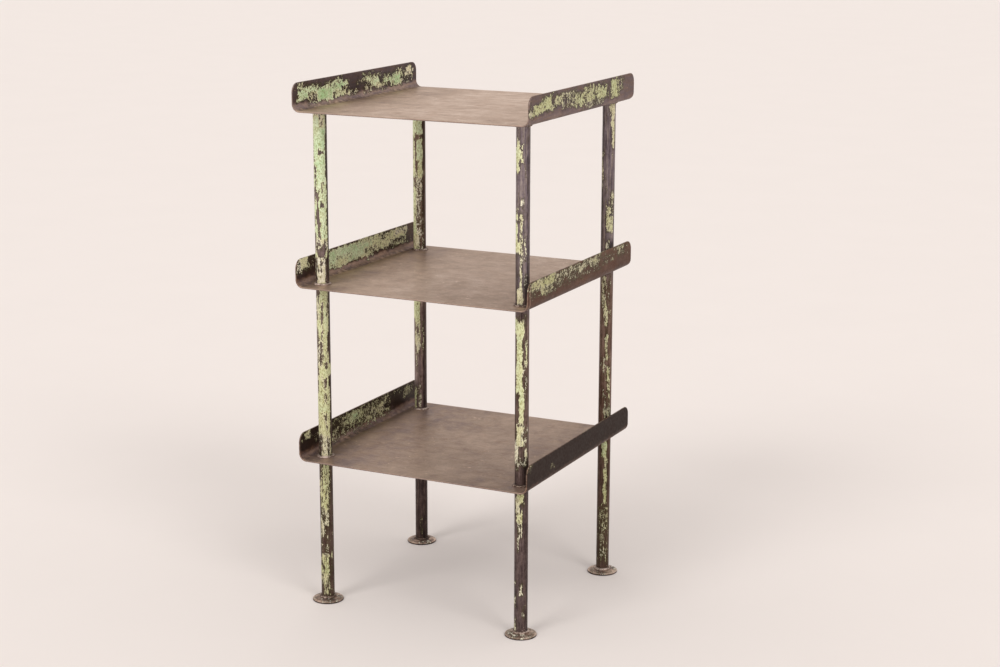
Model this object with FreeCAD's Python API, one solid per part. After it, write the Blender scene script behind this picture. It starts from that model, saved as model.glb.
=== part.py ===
import FreeCAD, Part
import math
import os

Vector = FreeCAD.Vector

# Three-tier welded steel display shelf, in millimetres.
# Origin on the floor under the middle of the unit, +X to the right, +Y to the back, +Z up.

# Shelves: each one a single sheet with its left and right ends turned up
shelf_length = 508.0  # left to right, over the outsides of the turned-up ends
shelf_depth = 500.0  # front edge to back edge
sheet_thickness = 2.5
end_height = 56.0  # underside of the shelf to the top of a turned-up end
bend_inner_radius = 13.5
end_corner_radius = 19.0  # rounded top corners of the turned-up ends

# Floor to the underside of each shelf
bottom_shelf_height = 305.0
middle_shelf_height = 661.0
top_shelf_height = 1008.0

# Posts: round tubes that pass through the two lower shelves and stop under the top one
post_diameter = 26.9  # 3/4 inch pipe
post_wall = 2.3
post_inset_from_edge = 47.0  # front or back edge of a shelf to the post's centre line
post_hole_clearance = 0.3  # all round, between a post and its hole in a shelf

# Feet: flat-bottomed discs with a domed top and a level land under the post
foot_diameter = 63.5
foot_rim_height = 3.0
foot_rim_rounding = 1.0
foot_height = 7.0

# Welds: one fillet bead all round a post at each foot and at each shelf
weld_leg = 4.5  # up the post, and out along the foot or shelf
weld_bulge = 0.6  # how far the bead swells past a straight fillet
weld_to_bend_gap = 0.2  # flat floor left between a bead and the start of the shelf's bend

overrun = 2.0  # how far cutters run past what they cut

# Worked out from the sizes above
half_length = shelf_length / 2
half_depth = shelf_depth / 2
bend_outer_radius = bend_inner_radius + sheet_thickness
post_radius = post_diameter / 2
foot_radius = foot_diameter / 2
post_x = half_length - bend_outer_radius - weld_to_bend_gap - weld_leg - post_radius
post_y = half_depth - post_inset_from_edge

shelf_heights = {
    "bottom_shelf": bottom_shelf_height,
    "middle_shelf": middle_shelf_height,
    "top_shelf": top_shelf_height,
}
post_places = {
    "front_left": Vector(-post_x, -post_y, 0),
    "front_right": Vector(post_x, -post_y, 0),
    "back_left": Vector(-post_x, post_y, 0),
    "back_right": Vector(post_x, post_y, 0),
}


def line(start, end):
    return Part.LineSegment(start, end).toShape()


# Quarter of a circle, from one angle to 90 degrees further on.
# across and up are the two directions that the circle lies in.
def quarter(centre, radius, first_angle, across, up):
    points = []
    for angle in (first_angle, first_angle + 45, first_angle + 90):
        turn = math.radians(angle)
        points.append(centre + across * (radius * math.cos(turn)) + up * (radius * math.sin(turn)))
    return Part.Arc(*points).toShape()


# One face of the bent sheet seen from the front: down one end, round the bend,
# along the floor of the shelf and up the other end, at a distance in from the outside.
def sheet_line(distance_in, y):
    side = half_length - distance_in
    bend_start = half_length - bend_outer_radius
    radius = bend_outer_radius - distance_in
    top = end_height + overrun
    across = Vector(1, 0, 0)
    up = Vector(0, 0, 1)
    left_centre = Vector(-bend_start, y, bend_outer_radius)
    right_centre = Vector(bend_start, y, bend_outer_radius)
    left_top = Vector(-side, y, top)
    right_top = Vector(side, y, top)
    edges = [
        line(left_top, Vector(-side, y, bend_outer_radius)),
        quarter(left_centre, radius, 180, across, up),
        line(Vector(-bend_start, y, distance_in), Vector(bend_start, y, distance_in)),
        quarter(right_centre, radius, 270, across, up),
        line(Vector(side, y, bend_outer_radius), right_top),
    ]
    return edges, left_top, right_top


# The shelf's outline seen from the end: square at the bottom, rounded at both top corners
def end_outline():
    x = -half_length - overrun
    bottom = -overrun
    corner = end_corner_radius
    corner_start = end_height - corner
    across = Vector(0, 1, 0)
    up = Vector(0, 0, 1)
    back_centre = Vector(x, half_depth - corner, corner_start)
    front_centre = Vector(x, -half_depth + corner, corner_start)
    return [
        line(Vector(x, -half_depth, bottom), Vector(x, half_depth, bottom)),
        line(Vector(x, half_depth, bottom), Vector(x, half_depth, corner_start)),
        quarter(back_centre, corner, 0, across, up),
        line(Vector(x, half_depth - corner, end_height), Vector(x, -half_depth + corner, end_height)),
        quarter(front_centre, corner, 90, across, up),
        line(Vector(x, -half_depth, corner_start), Vector(x, -half_depth, bottom)),
    ]


# A shelf with its underside at z = 0, with holes for the posts where they pass through
def make_shelf(has_post_holes):
    y = -half_depth - overrun
    outside, outer_left, outer_right = sheet_line(0, y)
    inside, inner_left, inner_right = sheet_line(sheet_thickness, y)
    right_edge = [line(outer_right, inner_right)]
    left_edge = [line(inner_left, outer_left)]
    section = Part.Face(Part.Wire(outside + right_edge + inside[::-1] + left_edge))
    sheet = section.extrude(Vector(0, shelf_depth + 2 * overrun, 0))
    side_view = Part.Face(Part.Wire(end_outline()))
    shelf = sheet.common(side_view.extrude(Vector(shelf_length + 2 * overrun, 0, 0)))
    if has_post_holes:
        for place in post_places.values():
            hole_bottom = place - Vector(0, 0, overrun)
            hole_radius = post_radius + post_hole_clearance
            shelf = shelf.cut(Part.makeCylinder(hole_radius, end_height + 2 * overrun, hole_bottom))
    return shelf.Solids[0]


# A tube from the land on its foot to the underside of the top shelf
def make_post(place):
    bottom = place + Vector(0, 0, foot_height)
    length = top_shelf_height - foot_height
    bore_bottom = bottom - Vector(0, 0, overrun)
    tube = Part.makeCylinder(post_radius, length, bottom)
    return tube.cut(Part.makeCylinder(post_radius - post_wall, length + 2 * overrun, bore_bottom))


# A disc whose top curves up from the rim to the level land that carries the post and its weld
def make_foot(place):
    land_radius = post_radius + weld_leg
    rise = foot_height - foot_rim_height
    run = foot_radius - land_radius
    dome_radius = (run ** 2 + rise ** 2) / (2 * rise)
    half_turn = math.asin(run / dome_radius) / 2
    dome_middle = Vector(
        land_radius + dome_radius * math.sin(half_turn),
        0,
        foot_height - dome_radius * (1 - math.cos(half_turn)),
    )
    centre_bottom = Vector(0, 0, 0)
    rim_bottom = Vector(foot_radius, 0, 0)
    rim_top = Vector(foot_radius, 0, foot_rim_height)
    land_edge = Vector(land_radius, 0, foot_height)
    centre_top = Vector(0, 0, foot_height)
    outline = [
        line(centre_bottom, rim_bottom),
        line(rim_bottom, rim_top),
        Part.Arc(rim_top, dome_middle, land_edge).toShape(),
        line(land_edge, centre_top),
        line(centre_top, centre_bottom),
    ]
    disc = Part.Face(Part.Wire(outline)).revolve(Vector(0, 0, 0), Vector(0, 0, 1), 360)
    rim_edges = []
    for edge in disc.Edges:
        if abs(edge.CenterOfMass.z - foot_rim_height) < foot_rim_rounding / 2:
            rim_edges.append(edge)
    foot = disc.makeFillet(foot_rim_rounding, rim_edges)
    foot.translate(place)
    return foot


# A bead round a post, standing on a seat (side = 1) or hanging under one (side = -1)
def make_weld(place, seat_height, side):
    corner = Vector(post_radius, 0, 0)
    up_post = Vector(post_radius, 0, side * weld_leg)
    along_seat = Vector(post_radius + weld_leg, 0, 0)
    outward = Vector(1, 0, side).normalize()
    crest = (up_post + along_seat) * 0.5 + outward * weld_bulge
    section = [
        line(corner, up_post),
        Part.Arc(up_post, crest, along_seat).toShape(),
        line(along_seat, corner),
    ]
    bead = Part.Face(Part.Wire(section)).revolve(Vector(0, 0, 0), Vector(0, 0, 1), 360)
    bead.translate(place + Vector(0, 0, seat_height))
    return bead


nodes = {}
for shelf_name, height in shelf_heights.items():
    shelf = make_shelf(has_post_holes=height < top_shelf_height)
    shelf.translate(Vector(0, 0, height))
    nodes[shelf_name] = shelf

for place_name, place in post_places.items():
    nodes["post_" + place_name] = make_post(place)
    nodes["foot_" + place_name] = make_foot(place)
    nodes["foot_weld_" + place_name] = make_weld(place, foot_height, 1)
    nodes["top_shelf_weld_" + place_name] = make_weld(place, top_shelf_height, -1)
    for shelf_name in ("bottom_shelf", "middle_shelf"):
        seat_height = shelf_heights[shelf_name] + sheet_thickness
        nodes[shelf_name + "_weld_" + place_name] = make_weld(place, seat_height, 1)

os.makedirs("parts", exist_ok=True)
for name, shape in nodes.items():
    shape.exportStep("parts/" + name + ".step")
    print(name, len(shape.Solids), "solid", round(shape.Volume, 1), "mm3", shape.isValid())
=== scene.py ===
import math
import random
from functools import partial

import bpy
import numpy as np
from mathutils import Matrix, Vector


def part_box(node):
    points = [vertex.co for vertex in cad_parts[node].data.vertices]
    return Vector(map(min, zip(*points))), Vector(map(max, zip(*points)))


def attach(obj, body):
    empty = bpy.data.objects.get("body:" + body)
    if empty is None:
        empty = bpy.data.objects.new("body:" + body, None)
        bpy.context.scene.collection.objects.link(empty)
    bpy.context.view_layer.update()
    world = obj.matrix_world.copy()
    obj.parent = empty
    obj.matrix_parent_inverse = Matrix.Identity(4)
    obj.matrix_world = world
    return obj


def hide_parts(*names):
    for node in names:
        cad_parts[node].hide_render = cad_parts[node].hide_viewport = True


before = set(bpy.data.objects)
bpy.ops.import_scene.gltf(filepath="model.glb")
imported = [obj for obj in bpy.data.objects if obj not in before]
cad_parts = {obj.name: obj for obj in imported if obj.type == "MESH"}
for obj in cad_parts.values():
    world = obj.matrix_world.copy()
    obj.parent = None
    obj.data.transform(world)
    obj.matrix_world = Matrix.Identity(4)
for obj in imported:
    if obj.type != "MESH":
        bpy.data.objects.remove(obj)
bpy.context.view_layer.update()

mm = 0.001
quarterTurn = math.pi / 2
corners = ("front_left", "front_right", "back_left", "back_right")
print("frame loaded:", len(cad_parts), "nodes")

# The photograph's view: degrees round from the front, degrees up, metres away
view = {
    "turn": 26.09,
    "lift": 13.28,
    "roll": 0.16,
    "distance": 4.0298,
    "lookAt": (0.07331, 0.0, 0.55066),
    "lens": 71.604,
    "sensorWidth": 36.0,
}


def aimCamera():
    turn = math.radians(view["turn"])
    lift = math.radians(view["lift"])
    roll = math.radians(view["roll"])
    level = math.cos(lift)
    back = Vector((math.sin(turn) * level, -math.cos(turn) * level, math.sin(lift)))
    across = Vector((math.cos(turn), math.sin(turn), 0.0))
    upward = back.cross(across)
    right = across * math.cos(roll) + upward * math.sin(roll)
    up = upward * math.cos(roll) - across * math.sin(roll)
    place = Vector(view["lookAt"]) + back * view["distance"]
    lens = bpy.data.cameras.new("studioCamera")
    lens.lens = view["lens"]
    lens.sensor_width = view["sensorWidth"]
    lens.sensor_fit = "HORIZONTAL"
    lens.clip_end = 200.0
    camera = bpy.data.objects.new("studioCamera", lens)
    bpy.context.scene.collection.objects.link(camera)
    camera.matrix_world = Matrix((
        (right.x, up.x, back.x, place.x),
        (right.y, up.y, back.y, place.y),
        (right.z, up.z, back.z, place.z),
        (0.0, 0.0, 0.0, 1.0),
    ))
    bpy.context.scene.camera = camera


aimCamera()
bpy.context.scene.view_settings.view_transform = "Standard"
print("camera aimed")


# A colour as it shows on screen, 0 to 255, made linear for the nodes
def screenColour(red, green, blue):
    linear = []
    for level in (red, green, blue):
        share = level / 255.0
        linear.append(share / 12.92 if share <= 0.04045 else ((share + 0.055) / 1.055) ** 2.4)
    return (*linear, 1.0)


# Each input is given a value or joined to another node's output
def feed(tree, node, inputs):
    for name, value in inputs.items():
        if isinstance(value, bpy.types.NodeSocket):
            tree.links.new(value, node.inputs[name])
        else:
            node.inputs[name].default_value = value


def addNode(tree, kind, inputs=None, **settings):
    made = tree.nodes.new(kind)
    for name, value in settings.items():
        setattr(made, name, value)
    feed(tree, made, inputs or {})
    return made


def doMath(tree, operation, first, second=0.0, third=0.0):
    inputs = {0: first, 1: second, 2: third}
    return addNode(tree, "ShaderNodeMath", inputs, operation=operation).outputs[0]


def combine(tree, x=0.0, y=0.0, z=0.0):
    return addNode(tree, "ShaderNodeCombineXYZ", {"X": x, "Y": y, "Z": z}).outputs[0]


# Sum of fields, each with its own share
def weigh(tree, start, parts):
    total = start
    for field, share in parts:
        total = doMath(tree, "MULTIPLY_ADD", field, share, total)
    return total


def stretched(tree, place, stretch):
    inputs = {0: place, 1: stretch}
    return addNode(tree, "ShaderNodeVectorMath", inputs, operation="MULTIPLY").outputs[0]


def grainField(tree, place, scale, detail=3.0, roughness=0.6, distortion=0.0):
    return addNode(tree, "ShaderNodeTexNoise", {
        "Vector": place,
        "Scale": scale,
        "Detail": detail,
        "Roughness": roughness,
        "Distortion": distortion,
    }).outputs["Fac"]


def between(tree, field, low, high, newLow=0.0, newHigh=1.0):
    ranged = addNode(tree, "ShaderNodeMapRange", {
        "Value": field, "From Min": low, "From Max": high, "To Min": newLow, "To Max": newHigh,
    }, interpolation_type="SMOOTHSTEP")
    return ranged.outputs["Result"]


def blendColours(tree, share, first, second, how="MIX"):
    inputs = {"Factor": share, 6: first, 7: second}  # 6 and 7 are its two colours
    return addNode(tree, "ShaderNodeMix", inputs, data_type="RGBA", blend_type=how).outputs[2]


def blendNumbers(tree, share, first, second):
    return addNode(tree, "ShaderNodeMix", {"Factor": share, "A": first, "B": second}).outputs[0]


def colourSteps(tree, field, steps):
    ramp = addNode(tree, "ShaderNodeValToRGB", {"Fac": field})
    elements = ramp.color_ramp.elements
    while len(elements) < len(steps):
        elements.new(0.5)
    for element, (at, colour) in zip(elements, steps):
        element.position = at
        element.color = colour
    return ramp.outputs["Color"]


def readField(tree, name):
    return addNode(tree, "ShaderNodeAttribute", attribute_name=name).outputs["Fac"]


# A new material with its tree and shader, and the place on the piece that its patterns go by
def freshMaterial(name):
    material = bpy.data.materials.new(name)
    material.use_nodes = True
    tree = material.node_tree
    place = addNode(tree, "ShaderNodeTexCoord").outputs["Object"]
    return material, tree, tree.nodes["Principled BSDF"], place


# Green paint chipped away from steel. Each piece carries these fields of its own.
steelFields = (
    "paintCover",  # how much paint is left
    "paintTone",  # mint, yellow-green, cream
    "paintDarkening",
    "bareShade",  # bright to black steel
    "rusty",
    "brushed",
    # ground cut edges on the shelves, and a painted highlight on the feet
    "groundEdgeAndHighlight",  # ground edges
)
paintColours = [
    (0.0, screenColour(182, 224, 166)),
    (0.25, screenColour(230, 243, 208)),
    (0.5, screenColour(232, 235, 190)),
    (0.75, screenColour(239, 233, 200)),
    (1.0, screenColour(252, 247, 230)),
]
shelfLook = {
    "bare": [
        (0.0, screenColour(240, 222, 208)),
        (0.2, screenColour(206, 183, 166)),
        (0.38, screenColour(168, 144, 125)),
        (0.54, screenColour(124, 101, 84)),
        (0.7, screenColour(94, 74, 64)),
        (0.86, screenColour(64, 50, 42)),
        (1.0, screenColour(42, 30, 24)),
    ],
    "stretch": (1.0, 0.9, 0.8),  # chips along and up the turned-up ends
    "coarse": (75.0, 0.2),  # scale of the chips, and their share in the pattern
    "fine": (200.0, 0.46),
    "dust": (470.0, 0.3),
    "streak": ((30.0, 30.0, 210.0), 0.14),  # long streaks
    "pits": (170.0, 0.55),  # small round chips in paint that has held
    "lost": 0.12,  # paint gone everywhere
    "spread": 0.1,  # how far the pattern swings from its middle
    "streakDepth": 0.18,  # how much streaks and stains show in bare steel
    "stain": (17.0, 0.32),
    "speckle": 0.3,
    "scuffs": (70.0, 90.0, 90.0),
    "brush": (14.0, 36.0, 34.0),  # brush lines run along the shelf
    "brushDepth": 0.34,
    "pull": 0.75,  # how far brushing draws out the reflections across its lines
    "cool": (0.25, 0.65, 0.62),  # shades at which a cool grey starts and is full, and its share
    "warmShare": 0.2,
    "bareRoughness": (0.36, 0.5),
    "bareMetal": 0.86,
}
postLook = {
    "bare": [
        (0.0, screenColour(182, 170, 162)),
        (0.3, screenColour(144, 130, 124)),
        (0.55, screenColour(106, 91, 85)),
        (0.8, screenColour(72, 58, 51)),
        (1.0, screenColour(44, 33, 27)),
    ],
    "stretch": (1.0, 1.0, 0.5),  # chips run up the tube
    "coarse": (90.0, 0.1),
    "fine": (240.0, 0.3),
    "dust": (520.0, 0.3),
    "streak": ((300.0, 300.0, 26.0), 0.36),
    "pits": (230.0, 0.5),
    "lost": 0.2,
    "spread": 0.1,
    "streakDepth": 0.8,
    "stain": (26.0, 0.6),
    "speckle": 0.6,
    "scuffs": (300.0, 300.0, 30.0),
    "brush": (230.0, 230.0, 8.0),
    "brushDepth": 1.9,
    "pull": 0.0,
    "cool": (0.0, 0.45, 0.68),
    "warmShare": 0.14,
    "bareRoughness": (0.34, 0.5),
    "bareMetal": 0.8,
}
# How paint comes away, the same on every piece: its level is above 0 where it is left and
# below 0 where the steel is bare
chipping = {
    "coverGain": 1.22,
    "neverPainted": (0.04, -0.6),  # cover that means paint at all, and the level without it
    "pitSize": (0.62, -0.3),
    "pitEdge": (-0.08, 0.04),
    "fleckSize": (-1.0, 0.3),
    "fleckFree": (0.1, -1.5),  # cover from which flecks are whole, and their size without it
    "fleckLevel": 0.1,
    "edge": (-0.05, 0.05),
    "thinUpTo": 0.35,  # paint near a chip goes pale
    # Steel near the paint's edge is darkened as a painted shadow of that edge
    "edgeShadowFrom": -0.4,  # steel near the paint is darker
    "filmFrom": -0.6,  # a worn edge leaves a film behind
    "filmShare": 0.62,
}
# Detail, roughness and distortion of the noise behind each mark
markNoise = {
    "coarse": (2.0, 0.6, 0.6),
    "fine": (3.0, 0.6, 1.0),
    "dust": (2.0, 0.6, 0.5),
    "streak": (3.0, 0.6, 0.3),
    "brush": (5.0, 0.62, 0.2),
    "hair": (3.0, 0.7),
    "stain": (5.0, 0.66, 0.8),
    "scuff": (2.0, 0.5),
    "scuffed": (1.0, 0.5),
    "warmth": (4.0, 0.7, 0.6),
    "drift": (3.0, 0.6),
}
# Marks in bare steel, the same on every piece
steelMarks = {
    "hairStretch": (3.0, 7.0, 6.0),  # hair lines against broad brush lines
    "lines": (0.55, 0.45),  # shares of broad brush lines and hair lines
    "stainStretch": (1.0, 0.7, 1.0),
    "scuff": (0.66, 0.74),
    "scuffed": (0.46, 0.6),  # scuffs come in groups
    "scuffedSize": 7.0,
    "scuffShade": -0.2,
    # Share of the painted shadow along the paint's edge
    "edgeShadowShare": 0.26,
    # Four numbers are a range of noise or rust, and the shares at its ends
    "coolStreaks": (0.35, 0.6, 0.4, 1.0),
    "coolInRust": (0.0, 0.6, 1.0, 0.0),  # no blue in rust
    "warmSize": 33.0,
    "warm": (0.5, 0.72),
    "groundGrain": (0.35, 0.6, 0.2, 1.0),
    "metal": (0.2, 1.0),  # shades between which steel turns less metallic
    "lessMetal": 0.25,
}
# Tone, dirt and surface of the paint, and the relief of paint and steel
paintMarks = {
    "driftSize": 40.0,
    "drift": 0.5,  # how much the tone drifts, and pales in thin paint
    "thin": 0.3,
    "toneDown": 0.25,  # takes back what the drift adds at its middle
    "dirtAndReflection": (0.65, 0.35),  # shares of dust and of fine grain
    "grime": (0.45, 0.6, 0.0, 0.8),
    "grain": (0.3, 0.7),  # range of the noise that roughness goes by
    "roughness": (0.42, 0.62),
    "thickness": (0.3, 0.85),  # how it follows the fine grain, and its least
    "relief": (0.1, 0.08, 0.08),  # shares of hair lines, fine grain and dust
    "bump": 0.6,
    "bumpHeight": 0.25 * mm,
    "specular": 0.18,
}
steelTints = {
    "cool": screenColour(134, 123, 135),
    "warm": screenColour(120, 84, 62),
    # Tint of ground cut edges, also used for the painted highlight on the feet
    "groundAndHighlight": screenColour(190, 168, 154),
    "rust": screenColour(255, 224, 206),
    "film": screenColour(88, 82, 56),
    "grime": screenColour(182, 176, 136),  # in the grain of the paint
    "darkTint": screenColour(198, 197, 178),  # all over it
}


# Noise drawn out along one way, as brushing and scuffing leave it
def linesField(tree, place, stretch, mark):
    return grainField(tree, stretched(tree, place, stretch), 1.0, *markNoise[mark])


# Grains of four sizes, which chips, streaks and speckles are made of
def steelGrains(tree, place, chipPlace, look):
    grains = {
        size: grainField(tree, chipPlace, look[size][0], *markNoise[size])
        for size in ("coarse", "fine", "dust")
    }
    grains["streak"] = linesField(tree, place, look["streak"][0], "streak")
    return grains


def paintLevel(tree, cover, chipPlace, grains, look):
    calc = partial(doMath, tree)
    chips = weigh(tree, 0.0, [(grain, look[size][1]) for size, grain in grains.items()])
    middle = sum(look[size][1] for size in grains) / 2
    evenChips = addNode(tree, "ShaderNodeMapRange", {
        "Value": chips, "From Min": middle - look["spread"], "From Max": middle + look["spread"],
    }, clamp=False).outputs["Result"]
    enough, unpainted = chipping["neverPainted"]
    paintLeft = calc("MULTIPLY_ADD", cover, chipping["coverGain"], -look["lost"])
    paintLeft = calc("ADD", paintLeft, between(tree, cover, 0.0, enough, unpainted, 0.0))
    pits = addNode(tree, "ShaderNodeTexVoronoi", {
        "Vector": chipPlace, "Scale": look["pits"][0],
    }).outputs
    pitSize = calc("MULTIPLY_ADD", pits["Color"], *chipping["pitSize"])
    inPit = between(tree, calc("SUBTRACT", pits["Distance"], pitSize), *chipping["pitEdge"], 1.0, 0.0)
    paintLeft = calc("MULTIPLY_ADD", inPit, -look["pits"][1], paintLeft)
    level = calc("SUBTRACT", paintLeft, evenChips)
    # Flecks of paint that clung on
    enough, noFleck = chipping["fleckFree"]
    fleckSize = calc("MULTIPLY_ADD", pits["Color"], *chipping["fleckSize"])
    fleckSize = calc("ADD", fleckSize, between(tree, cover, 0.0, enough, noFleck, 0.0))
    offFleck = calc("SUBTRACT", fleckSize, pits["Distance"])
    return calc("MAXIMUM", level, calc("MINIMUM", offFleck, chipping["fleckLevel"]))


# Steel: long brush lines, fine scratches, cloudy stains, and a painted shadow beside the paint's edge
def shadeOfSteel(tree, place, fields, grains, level, hairLines, look):
    calc = partial(doMath, tree)
    brushLines = linesField(tree, place, look["brush"], "brush")
    lines = weigh(tree, -0.5, zip((brushLines, hairLines), steelMarks["lines"]))
    stainPlace = stretched(tree, place, steelMarks["stainStretch"])
    stain = grainField(tree, stainPlace, look["stain"][0], *markNoise["stain"])
    scuff = between(tree, linesField(tree, place, look["scuffs"], "scuff"), *steelMarks["scuff"])
    groups = grainField(tree, place, steelMarks["scuffedSize"], *markNoise["scuffed"])
    scuffed = between(tree, groups, *steelMarks["scuffed"])
    # Painted shadow of the paint's edge on the steel beside it
    paintEdgeShadow = between(tree, level, chipping["edgeShadowFrom"], chipping["edge"][0])
    middle = (look["stain"][1] + look["streakDepth"] + look["speckle"]) / 2
    return weigh(tree, calc("SUBTRACT", fields["bareShade"], middle), [
        (calc("MULTIPLY", lines, fields["brushed"]), look["brushDepth"]),
        (stain, look["stain"][1]),
        (grains["streak"], look["streakDepth"]),
        (grains["fine"], look["speckle"] * 0.5),
        (grains["dust"], look["speckle"] * 0.5),
        (calc("MULTIPLY", scuff, scuffed), steelMarks["scuffShade"]),
        (paintEdgeShadow, steelMarks["edgeShadowShare"]),
    ])


def colourOfSteel(tree, place, fields, grains, level, steelShade, look):
    calc = partial(doMath, tree)
    rusty = fields["rusty"]
    coolFrom, coolFull, coolShare = look["cool"]
    cool = between(tree, steelShade, coolFrom, coolFull, 0.0, coolShare)
    cool = calc("MULTIPLY", cool, between(tree, grains["streak"], *steelMarks["coolStreaks"]))
    cool = calc("MULTIPLY", cool, between(tree, rusty, *steelMarks["coolInRust"]))
    warmth = grainField(tree, place, steelMarks["warmSize"], *markNoise["warmth"])
    warm = between(tree, warmth, *steelMarks["warm"], 0.0, look["warmShare"])
    grain = between(tree, grains["fine"], *steelMarks["groundGrain"])
    groundAndHighlight = calc("MULTIPLY", fields["groundEdgeAndHighlight"], grain)
    film = between(tree, level, chipping["filmFrom"], chipping["edge"][0], 0.0, chipping["filmShare"])
    colour = colourSteps(tree, steelShade, look["bare"])
    for share, tint, how in (
        (cool, "cool", "COLOR"), (warm, "warm", "SOFT_LIGHT"), (groundAndHighlight, "groundAndHighlight", "MIX"),
        (rusty, "rust", "MULTIPLY"), (film, "film", "MIX"),
    ):
        colour = blendColours(tree, share, colour, steelTints[tint], how)
    return colour


# Paint: its tone drifts, grime settles in its grain, a field of its own darkens it, and its edges go
# pale
def colourOfPaint(tree, place, fields, grains, level):
    drift = grainField(tree, place, paintMarks["driftSize"], *markNoise["drift"])
    thinPaint = between(tree, level, 0.0, chipping["thinUpTo"], 1.0, 0.0)
    tone = doMath(tree, "SUBTRACT", fields["paintTone"], paintMarks["toneDown"])
    tone = weigh(tree, tone, [(drift, paintMarks["drift"]), (thinPaint, paintMarks["thin"])])
    dirtAndReflection = weigh(tree, 0.0, zip((grains["dust"], grains["fine"]), paintMarks["dirtAndReflection"]))
    grime = between(tree, dirtAndReflection, *paintMarks["grime"])
    colour = colourSteps(tree, tone, paintColours)
    colour = blendColours(tree, grime, colour, steelTints["grime"], "MULTIPLY")
    return blendColours(tree, fields["paintDarkening"], colour, steelTints["darkTint"], "MULTIPLY")


def paintedSteel(name, look):
    material, tree, shader, place = freshMaterial(name)
    fields = {field: readField(tree, field) for field in steelFields}
    chipPlace = stretched(tree, place, look["stretch"])
    brushPlace = stretched(tree, place, look["brush"])
    hairLines = linesField(tree, brushPlace, steelMarks["hairStretch"], "hair")
    grains = steelGrains(tree, place, chipPlace, look)
    fine = grains["fine"]
    level = paintLevel(tree, fields["paintCover"], chipPlace, grains, look)
    paint = between(tree, level, *chipping["edge"])
    steelShade = shadeOfSteel(tree, place, fields, grains, level, hairLines, look)
    steelColour = colourOfSteel(tree, place, fields, grains, level, steelShade, look)
    paintColour = colourOfPaint(tree, place, fields, grains, level)

    steelRough = between(tree, hairLines, *paintMarks["grain"], *look["bareRoughness"])
    paintRough = between(tree, fine, *paintMarks["grain"], *paintMarks["roughness"])
    metal = look["bareMetal"]
    darkMetal = metal - steelMarks["lessMetal"]
    bareMetal = between(tree, fields["bareShade"], *steelMarks["metal"], metal, darkMetal)
    thickness = doMath(tree, "MULTIPLY_ADD", fine, *paintMarks["thickness"])
    paintHeight = doMath(tree, "MULTIPLY", paint, thickness)
    relief = weigh(tree, paintHeight, zip((hairLines, fine, grains["dust"]), paintMarks["relief"]))
    bump = addNode(tree, "ShaderNodeBump", {
        "Strength": paintMarks["bump"], "Distance": paintMarks["bumpHeight"], "Height": relief,
    })
    feed(tree, shader, {
        "Base Color": blendColours(tree, paint, steelColour, paintColour),
        "Roughness": blendNumbers(tree, paint, steelRough, paintRough),
        "Metallic": blendNumbers(tree, paint, bareMetal, 0.0),
        "Normal": bump.outputs["Normal"],
        "Specular IOR Level": paintMarks["specular"],
    })
    if look["pull"]:
        feed(tree, shader, {"Anisotropic": look["pull"], "Tangent": combine(tree, y=1.0)})
    return material


# Weld metal: silvery crowns, brown heat tint in the hollows
weldLook = {
    "broad": (70.0, 3.0, 0.6, 0.4),  # scale, detail, roughness and distortion
    "fine": (420.0, 3.0, 0.7),
    "steps": [
        (0.38, screenColour(66, 52, 46)),
        (0.5, screenColour(124, 104, 92)),
        (0.6, screenColour(212, 196, 186)),
    ],
    "roughness": (0.3, 0.7, 0.42, 0.62),
    "metal": (0.3, 0.5, 0.5, 0.8),
    "bump": 0.5,
    "bumpHeight": 0.15 * mm,
}


def weldMetal(name, darker):
    material, tree, shader, place = freshMaterial(name)
    broad = grainField(tree, place, *weldLook["broad"])
    fine = grainField(tree, place, *weldLook["fine"])
    mixed = weigh(tree, doMath(tree, "MULTIPLY", broad, 0.5), [(fine, 0.5)])
    steps = [(at + darker, colour) for at, colour in weldLook["steps"]]
    bump = addNode(tree, "ShaderNodeBump", {
        "Strength": weldLook["bump"], "Distance": weldLook["bumpHeight"], "Height": fine,
    })
    feed(tree, shader, {
        "Base Color": colourSteps(tree, mixed, steps),
        "Roughness": between(tree, fine, *weldLook["roughness"]),
        "Metallic": between(tree, broad, *weldLook["metal"]),
        "Normal": bump.outputs["Normal"],
    })
    return material


shelfSteel = paintedSteel("brushedShelfSteel", shelfLook)
postPaint = paintedSteel("chippedPostPaint", postLook)
# Lighter and darker copies of one weld metal; a lighter copy partly paints the highlight a bead catches
weldBeadTones = {
    "bright": weldMetal("brightWeld", -0.06),
    "pale": weldMetal("paleWeld", -0.03),
    "brown": weldMetal("brownWeld", 0.01),
    "dark": weldMetal("darkWeld", 0.06),
}
print("finishes mixed")


# Slow wander in and out, so that no patch has a straight edge
def wobble(first, second, size, seed):
    dice = random.Random(seed)
    total = np.zeros_like(first)
    for octave in (1.0, 1.9, 3.7):
        for _ in range(3):
            heading = dice.uniform(0.0, 2.0 * math.pi)
            phase = dice.uniform(0.0, 2.0 * math.pi)
            pace = octave * dice.uniform(0.7, 1.3) * 2.0 * math.pi / size
            across = first * math.cos(heading) + second * math.sin(heading)
            total += np.sin(across * pace + phase) / octave
    return total / 3.0


# A wander is (how far, size of its waves, seed)
def stray(wander, first, second):
    amount, size, seed = wander
    return amount * wobble(first, second, size, seed)


# Reads a list of (place, value) at any place
def readSteps(places, steps):
    return np.interp(places, *zip(*steps))


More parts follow.
